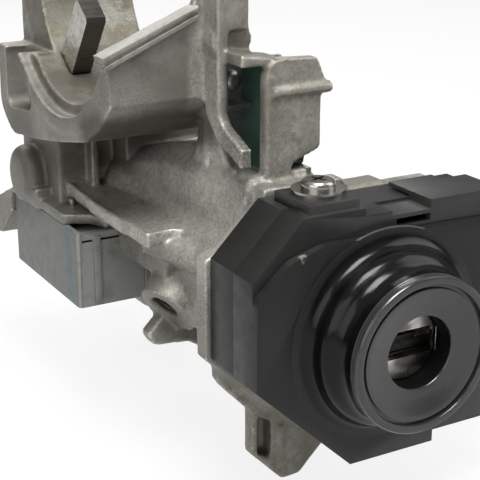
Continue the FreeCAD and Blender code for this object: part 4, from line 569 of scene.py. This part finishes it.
MATERIALS = {
    "cast": casting_material(),
    "black": front_shell_material(),
    "gloss_black": bezel_material(),
    "dark_plastic": plastic_material("dark_grey_plastic", (0.06, 0.06, 0.058), 0.5),
    "switch_plastic": plastic_material("switch_plastic", (0.035, 0.035, 0.035), 0.45),
    "cover_grey": cover_material(),
    "green": plastic_material("dark_green_plastic", (0.006, 0.020, 0.014), 0.45, dust=0.4, gloss=0.3),
    "zinc": steel_material("zinc_plated_steel", (0.40, 0.39, 0.36), 0.24, darkening=0.04, size=8 * MM,
                           depth=0.001 * MM),
    "die_zinc": steel_material("die_cast_zinc", (0.50, 0.49, 0.47), 0.42, size=0.8 * MM, depth=0.03 * MM),
    "steel": steel_material("spring_steel", (0.48, 0.47, 0.45), 0.35),
    "plug": plug_material(),
    "bolt_steel": bolt_material(),
    "contact": steel_material("copper_contact", (0.72, 0.42, 0.22), 0.35),
    "board": board_material(),
}
# blackened steel for the flap and its coil, and painted shade for the thread in the boss's hole
BLACKENED_AND_HOLE_SHADE = steel_material("blackened_steel_and_hole_shade", (0.030, 0.029, 0.027), 0.42, darkening=0.2)
SLOT_WALL = slot_wall_material()
LIP_METAL = casting_material("lip_casting", CAST_DARK, LIP_COLOUR, LIP_COLOUR)


# piece building

def linked(name, data):
    thing = bpy.data.objects.new(name, data)
    bpy.context.scene.collection.objects.link(thing)
    return thing


def own_copy(node, name):
    """A copy of a solid's mesh, with its doubled points joined."""
    mesh = frame["nodes"][node].data.copy()
    work = bmesh.new()
    work.from_mesh(mesh)
    bmesh.ops.remove_doubles(work, verts=work.verts, dist=WELD)
    work.to_mesh(mesh)
    work.free()
    return linked(name, mesh)


def run_modifiers(piece):
    graph = bpy.context.evaluated_depsgraph_get()
    made = bpy.data.meshes.new_from_object(piece.evaluated_get(graph))
    piece.modifiers.clear()
    piece.data = made


def set_smooth(piece, angle=SHARP_ANGLE):
    piece.data.shade_smooth()
    piece.data.set_sharp_from_angle(angle=angle)


def bevelled(node, name, without=None):
    """A copy of a solid with its edges rounded, and without the faces that the test names."""
    piece = own_copy(node, name)
    work = bmesh.new()
    work.from_mesh(piece.data)
    if without:
        bmesh.ops.delete(work, geom=[face for face in work.faces if without(face)], context="FACES")
    bmesh.ops.dissolve_limit(work, angle_limit=FLAT_ANGLE, verts=work.verts, edges=work.edges)
    work.to_mesh(piece.data)
    work.free()
    bevel = piece.modifiers.new("bevel", "BEVEL")
    bevel.limit_method = "ANGLE"
    bevel.angle_limit = SHARP_ANGLE
    bevel.width = SHELL_BEVEL
    bevel.segments = 2
    bevel.use_clamp_overlap = True
    run_modifiers(piece)
    set_smooth(piece, CREASE_ANGLE)
    return piece


def tube_faces(rings, steps):
    """Faces between rings of points, the last ring joined to the first."""
    faces = []
    for ring in range(rings):
        follower = (ring + 1) % rings
        for step in range(steps):
            after = (step + 1) % steps
            faces.append((ring * steps + step, follower * steps + step,
                          follower * steps + after, ring * steps + after))
    return faces


def from_points(name, points, faces):
    """A piece from points in millimetres, with its faces turned outwards."""
    mesh = bpy.data.meshes.new(name)
    mesh.from_pydata([Vector(point) * MM for point in points], [], faces)
    work = bmesh.new()
    work.from_mesh(mesh)
    bmesh.ops.recalc_face_normals(work, faces=work.faces)
    work.to_mesh(mesh)
    work.free()
    return linked(name, mesh)


def turned(name, profile, steps):
    """Surface of a section given as radius and place along the key axis."""
    points = []
    for radius, along in profile:
        for step in range(steps):
            angle = 2 * math.pi * step / steps
            points.append((radius * math.cos(angle), along, radius * math.sin(angle)))
    return from_points(name, points, tube_faces(len(profile), steps))


def smooth_profile(points, parts=5):
    """More points on a curve through the given ones, with its two ends kept straight."""
    curve = []
    for i in range(len(points) - 1):
        before = Vector(points[max(i - 1, 0)])
        start = Vector(points[i])
        end = Vector(points[i + 1])
        after = Vector(points[min(i + 2, len(points) - 1)])
        for part in range(parts):
            t = part / parts
            curve.append(tuple(0.5 * (2 * start + (end - before) * t
                                      + (2 * before - 5 * start + 4 * end - after) * t * t
                                      + (3 * start - before - 3 * end + after) * t ** 3)))
    curve.append(points[-1])
    return curve


def nose_skin():
    ends = [NOSE_FOOT, (NOSE_BORE_R, NOSE_FOOT[1]), (NOSE_BORE_R, NOSE_CURVE[0][1])]
    piece = turned("nose_skin", ends + smooth_profile(NOSE_CURVE), NOSE_STEPS)
    set_smooth(piece)
    return piece


def in_nose(face):
    """Whether a face of the solid shell belongs to its stepped nose, which the turned nose replaces."""
    places = [vertex.co / MM for vertex in face.verts]
    ahead = all(place_mm.y < NOSE_BACK_Y + NEAR for place_mm in places)
    some_front = any(place_mm.y < NOSE_BACK_Y for place_mm in places)
    widest = max(math.hypot(place_mm.x, place_mm.z) for place_mm in places)
    return ahead and some_front and widest < NOSE_CURVE[-1][0] + NEAR


def set_back(piece, from_y, to_y):
    """Moves the front end's points, all at one place along the key axis, back to another."""
    for vertex in piece.data.vertices:
        if abs(vertex.co.y / MM - from_y) < NEAR:
            vertex.co.y = to_y * MM
    return piece


def bezel_skin():
    piece = turned("nose_bezel_skin", BEZEL_CURVE, BEZEL_STEPS)
    set_smooth(piece)
    return piece


def plug_body():
    """The solid plug behind the key's face, its face set back and its slot widened."""
    piece = set_back(own_copy("key_plug", "plug_body"), PLUG_CAD_FACE_Y, TUBE_END_Y - PLUG_BURIED)
    widened = tuple(zip((0, 2), PLUG_CAD_SLOT, PLUG_SLOT))
    for vertex in piece.data.vertices:
        if vertex.co.y / MM > PLUG_CAD_SLOT_END_Y + NEAR:
            continue
        for axis, old, new in widened:
            if abs(abs(vertex.co[axis]) / MM - old) < SAME:
                vertex.co[axis] = math.copysign(new * MM, vertex.co[axis])
    set_smooth(piece)
    return piece


def key_face():
    """Round face of the plug with its slot and a soft outer edge."""
    half_x, half_z = KEY_SLOT
    outline = []
    for step in range(KEY_FACE_STEPS):
        angle = 2 * math.pi * (step + 0.5) / KEY_FACE_STEPS
        outline.append((math.cos(angle), math.sin(angle)))
    slot_corner = math.atan2(half_z, half_x)
    inner = []
    for cos, sin in outline:
        angle = abs(math.atan2(sin, cos))
        if angle < slot_corner or angle > math.pi - slot_corner:
            inner.append((math.copysign(half_x, cos), half_x * sin / abs(cos)))
        else:
            inner.append((half_z * cos / abs(sin), math.copysign(half_z, sin)))
    back = TUBE_END_Y - KEY_FACE_BURIED
    spread_x, spread_z = SLOT_EDGE_SPREAD
    rings = [
        [(x, back, z) for x, z in inner],
        [(x, KEY_FACE_Y + SLOT_EDGE[0], z) for x, z in inner],
        [(x * spread_x, KEY_FACE_Y + SLOT_EDGE[1], z * spread_z) for x, z in inner],
    ]
    circles = (
        (KEY_FACE_R * KEY_FACE_FLAT, KEY_FACE_Y),
        (KEY_FACE_R - KEY_FACE_EDGE, KEY_FACE_Y),
        (KEY_FACE_R, KEY_FACE_Y + KEY_FACE_EDGE),
        (KEY_FACE_R, back),
    )
    for radius, along in circles:
        rings.append([(radius * cos, along, radius * sin) for cos, sin in outline])
    points = [point for ring in rings for point in ring]
    piece = from_points("key_face", points, tube_faces(len(rings), KEY_FACE_STEPS))
    set_smooth(piece)
    return piece


def add_block(work, low, high):
    """One box from corner to corner, in millimetres."""
    middle = (Vector(low) + Vector(high)) / 2
    size = Vector(high) - Vector(low)
    for vertex in bmesh.ops.create_cube(work, size=1.0)["verts"]:
        vertex.co = Vector([(middle[i] + vertex.co[i] * size[i]) * MM for i in range(3)])


def small_blocks(name, blocks, width):
    """Boxes in one piece, with bevels of the given width."""
    piece = from_points(name, [], [])
    work = bmesh.new()
    for low, high in blocks:
        add_block(work, low, high)
    work.to_mesh(piece.data)
    work.free()
    bevel = piece.modifiers.new("bevel", "BEVEL")
    bevel.width = width
    bevel.segments = 2
    run_modifiers(piece)
    set_smooth(piece)
    return piece


def slot_walls():
    """Two thin walls that stand out at the slot's ends."""
    half_x, half_z = KEY_SLOT
    outer_x = half_x + SLOT_WALL_T
    short_z = half_z - SLOT_WALL_T
    front = KEY_FACE_Y - SLOT_WALL_PROUD
    walls = [((half_x, front, -short_z), (outer_x, TUBE_END_Y, half_z)),
             ((-outer_x, front, -half_z), (-half_x, TUBE_END_Y, short_z))]
    return small_blocks("slot_walls", walls, WALL_BEVEL)


def slot_flap():
    """The flap, notched at its upper right for the coil round its pin."""
    front, back = FLAP_Y
    low, high = FLAP_Z
    notch_x, notch_z = FLAP_NOTCH
    lip_front, lip_top = front - FLAP_LIP[0], low + FLAP_LIP[1]
    knuckle_front, knuckle_low = front - FLAP_KNUCKLE[0], high - FLAP_KNUCKLE[1]
    plate = ((-FLAP_HALF, front, low), (FLAP_HALF, back, notch_z))
    upper = ((-FLAP_HALF, front, notch_z - FLAP_OVERLAP), (notch_x, back, high))
    lip = ((-FLAP_HALF, lip_front, low), (FLAP_HALF, back, lip_top))
    knuckle = ((-FLAP_HALF, knuckle_front, knuckle_low), (notch_x, back, high))
    return small_blocks("slot_flap", [plate, upper, lip, knuckle], SMALL_BEVEL)


def flap_spring():
    """The flap's coil, drawn closer to its pin so that it stays inside the slot."""
    piece = own_copy("shutter_spring", "flap_spring")
    for vertex in piece.data.vertices:
        vertex.co.y = (vertex.co.y + FLAP_PIN_Y * MM) / 2
    set_smooth(piece)
    return piece


def pressed_spring(node, joint, axis, travel):
    """A smoothed copy of a coil in spring steel, riding on the housing."""
    piece = own_copy(node, node + "_coil")
    set_smooth(piece)
    dress(piece, node, "steel", "housing")
    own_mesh(piece)


def turned_in_boss(name, section):
    """Turned section, as radius and depth down the slanted boss's hole."""
    piece = turned(name, section, BOSS_STEPS)
    turn = Vector((0, -1, 0)).rotation_difference(Vector(BOSS_DIR))
    for vertex in piece.data.vertices:
        vertex.co = turn @ vertex.co + Vector(BOSS_POINT) * MM
    return piece


def boss_thread():
    """Thread ridges inside the slanted boss's hole."""
    inner, outer = THREAD_R
    section = []
    for ridge in range(THREAD_TURNS):
        start = THREAD_START + ridge * THREAD_PITCH
        section += [(outer, start), (inner, start + THREAD_PITCH / 2)]
    end = THREAD_START + THREAD_TURNS * THREAD_PITCH
    outside = outer + THREAD_WALL
    section += [(outer, end), (outside, end), (outside, THREAD_START)]
    piece = turned_in_boss("boss_thread", section)
    set_smooth(piece)
    return piece


def prism_along_key(name, sections):
    """Solid between outlines of x and z, each at its own place along the key axis."""
    points = [(x, along, z) for along, outline in sections for x, z in outline]
    count = len(sections[0][1])
    faces = tube_faces(len(sections), count)[:count * (len(sections) - 1)]
    faces.append(tuple(range(count)))
    faces.append(tuple(range(count * (len(sections) - 1), count * len(sections))))
    return from_points(name, points, faces)


def saddle_lip():
    """Crisp rough-cast lip along the sloped top of the saddle's front wall, over a thin dark step."""
    upper = prism_along_key("saddle_lip", [(y, LIP_UPPER) for y in LIP_UPPER_Y])
    lower = prism_along_key("saddle_lip_step", [(y, LIP_LOWER) for y in LIP_LOWER_Y])
    for piece in (upper, lower):
        add_voxels(piece, LIP_VOXEL)
        run_modifiers(piece)
        roughen(piece)
    return upper, lower


def add_voxels(piece, size):
    remesh = piece.modifiers.new("skin", "REMESH")
    remesh.mode = "VOXEL"
    remesh.voxel_size = size


def roughen(piece):
    """Uneven cast surface: a slow wave and a finer grain along the normals."""
    mesh = piece.data
    offsets = []
    for vertex in mesh.vertices:
        wave = noise.noise(vertex.co / CAST_WAVE_SIZE) * CAST_WAVE
        grain = noise.noise(vertex.co / CAST_GRAIN_SIZE) * CAST_GRAIN
        offsets.append(vertex.normal * (wave + grain))
    for vertex, offset in zip(mesh.vertices, offsets):
        vertex.co += offset
    mesh.shade_smooth()


def cast_skin():
    """The die casting with soft cast edges, an uneven surface and the boss's hole."""
    piece = own_copy("lock_housing", "casting_skin")
    bore = turned_in_boss("boss_bore", BOSS_BORE)
    hole = piece.modifiers.new("boss_bore", "BOOLEAN")
    hole.operation = "DIFFERENCE"
    hole.object = bore
    add_voxels(piece, CAST_VOXEL)
    smooth = piece.modifiers.new("smooth", "SMOOTH")
    smooth.factor = 0.5
    smooth.iterations = CAST_SMOOTH
    fewer = piece.modifiers.new("fewer", "DECIMATE")
    fewer.ratio = CAST_KEPT
    run_modifiers(piece)
    bpy.data.objects.remove(bore)
    roughen(piece)
    return piece


def dress(piece, node, slot_name, body, material=None):
    """Gives a piece its material, hides the node that it stands for, and hangs it on the body that it rides
    on.
    """
    piece.data.materials.clear()
    piece.data.materials.append(material or MATERIALS[slot_name])
    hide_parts(node)
    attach(piece, body)


def paint_cad_nodes():
    """Gives each solid that is shown as it is the material of its slot."""
    slots = {p["node"]: p["material_slot"] for p in frame["record"]["subparts"]}
    for node, thing in frame["nodes"].items():
        for index in range(len(thing.material_slots)):
            thing.material_slots[index].material = MATERIALS[slots[node]]


# the stage, the lights and the camera

def make_floor():
    """Pale floor, white to the camera, and to metal that mirrors it close to the part."""
    mesh = bpy.data.meshes.new("floor")
    level = CAD_LOW.z - FLOOR_GAP
    sides = ((-1, -1), (1, -1), (1, 1), (-1, 1))
    mesh.from_pydata([(x * FLOOR_REACH, y * FLOOR_REACH, level) for x, y in sides], [], [(0, 1, 2, 3)])
    floor = linked("floor", mesh)
    material, tree, shader = new_material("pale_floor", FLOOR_COLOUR, 0.0, 0.9)
    path = add_node(tree, "ShaderNodeLightPath")
    light = add_node(tree, "ShaderNodeEmission")
    light.inputs["Strength"].default_value = 1.0
    near = remap(tree, vector_length(tree, place(tree)), *FLOOR_MIRRORED, 1.0, 0.15)
    mirrored = combine(tree, "MAXIMUM", path.outputs["Is Glossy Ray"], path.outputs["Is Transmission Ray"])
    seen = combine(tree, "MAXIMUM", path.outputs["Is Camera Ray"], product(tree, mirrored, near))
    mixed = add_node(tree, "ShaderNodeMixShader")
    tree.links.new(product(tree, seen, FLOOR_WHITE), mixed.inputs["Fac"])
    tree.links.new(shader.outputs["BSDF"], mixed.inputs[1])
    tree.links.new(light.outputs["Emission"], mixed.inputs[2])
    tree.links.new(mixed.outputs["Shader"], tree.nodes["Material Output"].inputs["Surface"])
    mesh.materials.append(material)


def make_world():
    """Fill light that grows from the ground to the sky, and white behind the part for the camera."""
    world = bpy.data.worlds.new("studio")
    bpy.context.scene.world = world
    world.use_nodes = True
    tree = world.node_tree
    fill = tree.nodes["Background"]
    fill.inputs["Color"].default_value = (1, 1, 1, 1)
    sky = add_node(tree, "ShaderNodeSeparateXYZ")
    tree.links.new(add_node(tree, "ShaderNodeTexCoord").outputs["Generated"], sky.inputs["Vector"])
    tree.links.new(remap(tree, sky.outputs["Z"], *SKY_FILL), fill.inputs["Strength"])
    white = add_node(tree, "ShaderNodeBackground")
    white.inputs["Strength"].default_value = 1.0
    path = add_node(tree, "ShaderNodeLightPath")
    mixed = add_node(tree, "ShaderNodeMixShader")
    tree.links.new(path.outputs["Is Camera Ray"], mixed.inputs["Fac"])
    tree.links.new(fill.outputs["Background"], mixed.inputs[1])
    tree.links.new(white.outputs["Background"], mixed.inputs[2])
    tree.links.new(mixed.outputs["Shader"], tree.nodes["World Output"].inputs["Surface"])


def soft_lamp(name, place_at, size, power):
    data = bpy.data.lights.new(name, "AREA")
    data.shape = "RECTANGLE"
    data.size, data.size_y = size
    data.energy = power
    lamp = linked(name, data)
    lamp.location = place_at
    lamp.rotation_mode = "QUATERNION"
    lamp.rotation_quaternion = (Vector(LAMP_AIM) - Vector(place_at)).to_track_quat("-Z", "Y")


def make_camera():
    data = bpy.data.cameras.new("camera")
    data.sensor_width = SENSOR
    data.lens = SENSOR * FOCAL_PIXELS / PHOTO_SIDE
    data.clip_start = 0.01
    data.clip_end = 20.0
    camera = linked("camera", data)
    turn = Matrix((CAMERA_RIGHT, CAMERA_UP, CAMERA_BACK)).transposed()
    camera.rotation_mode = "QUATERNION"
    camera.rotation_quaternion = turn.to_quaternion()
    camera.location = CAMERA_PLACE
    bpy.context.scene.camera = camera


make_camera()
make_world()
for lamp_row in LAMPS:
    soft_lamp(*lamp_row)
make_floor()
paint_cad_nodes()

dress(cast_skin(), "lock_housing", "cast", "housing")
for lip in saddle_lip():
    dress(lip, "lock_housing", "cast", "housing", LIP_METAL)
# the casting's thread is given the blackened steel: painted shade inside the hole
dress(boss_thread(), "lock_housing", "cast", "housing", BLACKENED_AND_HOLE_SHADE)
dress(small_blocks("cover_lid", [COVER_LID], SMALL_BEVEL), "mechanism_cover", "cover_grey", "housing")
dress(bevelled("front_shell", "front_shell_skin", in_nose), "front_shell", "black", "housing")
dress(nose_skin(), "front_shell", "black", "housing")
dress(bevelled("rear_shell", "rear_shell_skin"), "rear_shell", "black", "housing")
dress(bezel_skin(), "nose_bezel", "gloss_black", "housing")
sleeve = set_back(own_copy("cylinder_sleeve", "sleeve_skin"), SLEEVE_CAD_FRONT_Y, TUBE_END_Y)
dress(sleeve, "cylinder_sleeve", "die_zinc", "housing")
dress(plug_body(), "key_plug", "plug", "plug")
dress(key_face(), "key_plug", "plug", "plug")
dress(slot_walls(), "key_plug", "plug", "plug", SLOT_WALL)
dress(slot_flap(), "key_shutter", "steel", "shutter", BLACKENED_AND_HOLE_SHADE)
dress(flap_spring(), "shutter_spring", "steel", "plug", BLACKENED_AND_HOLE_SHADE)
for spring in PRESSED_SPRINGS:
    pressed_spring(*spring)
cover = bevelled("mechanism_cover", "mechanism_cover_skin")
dress(cover, "mechanism_cover", "cover_grey", "housing")

bpy.context.scene.view_settings.view_transform = "Standard"
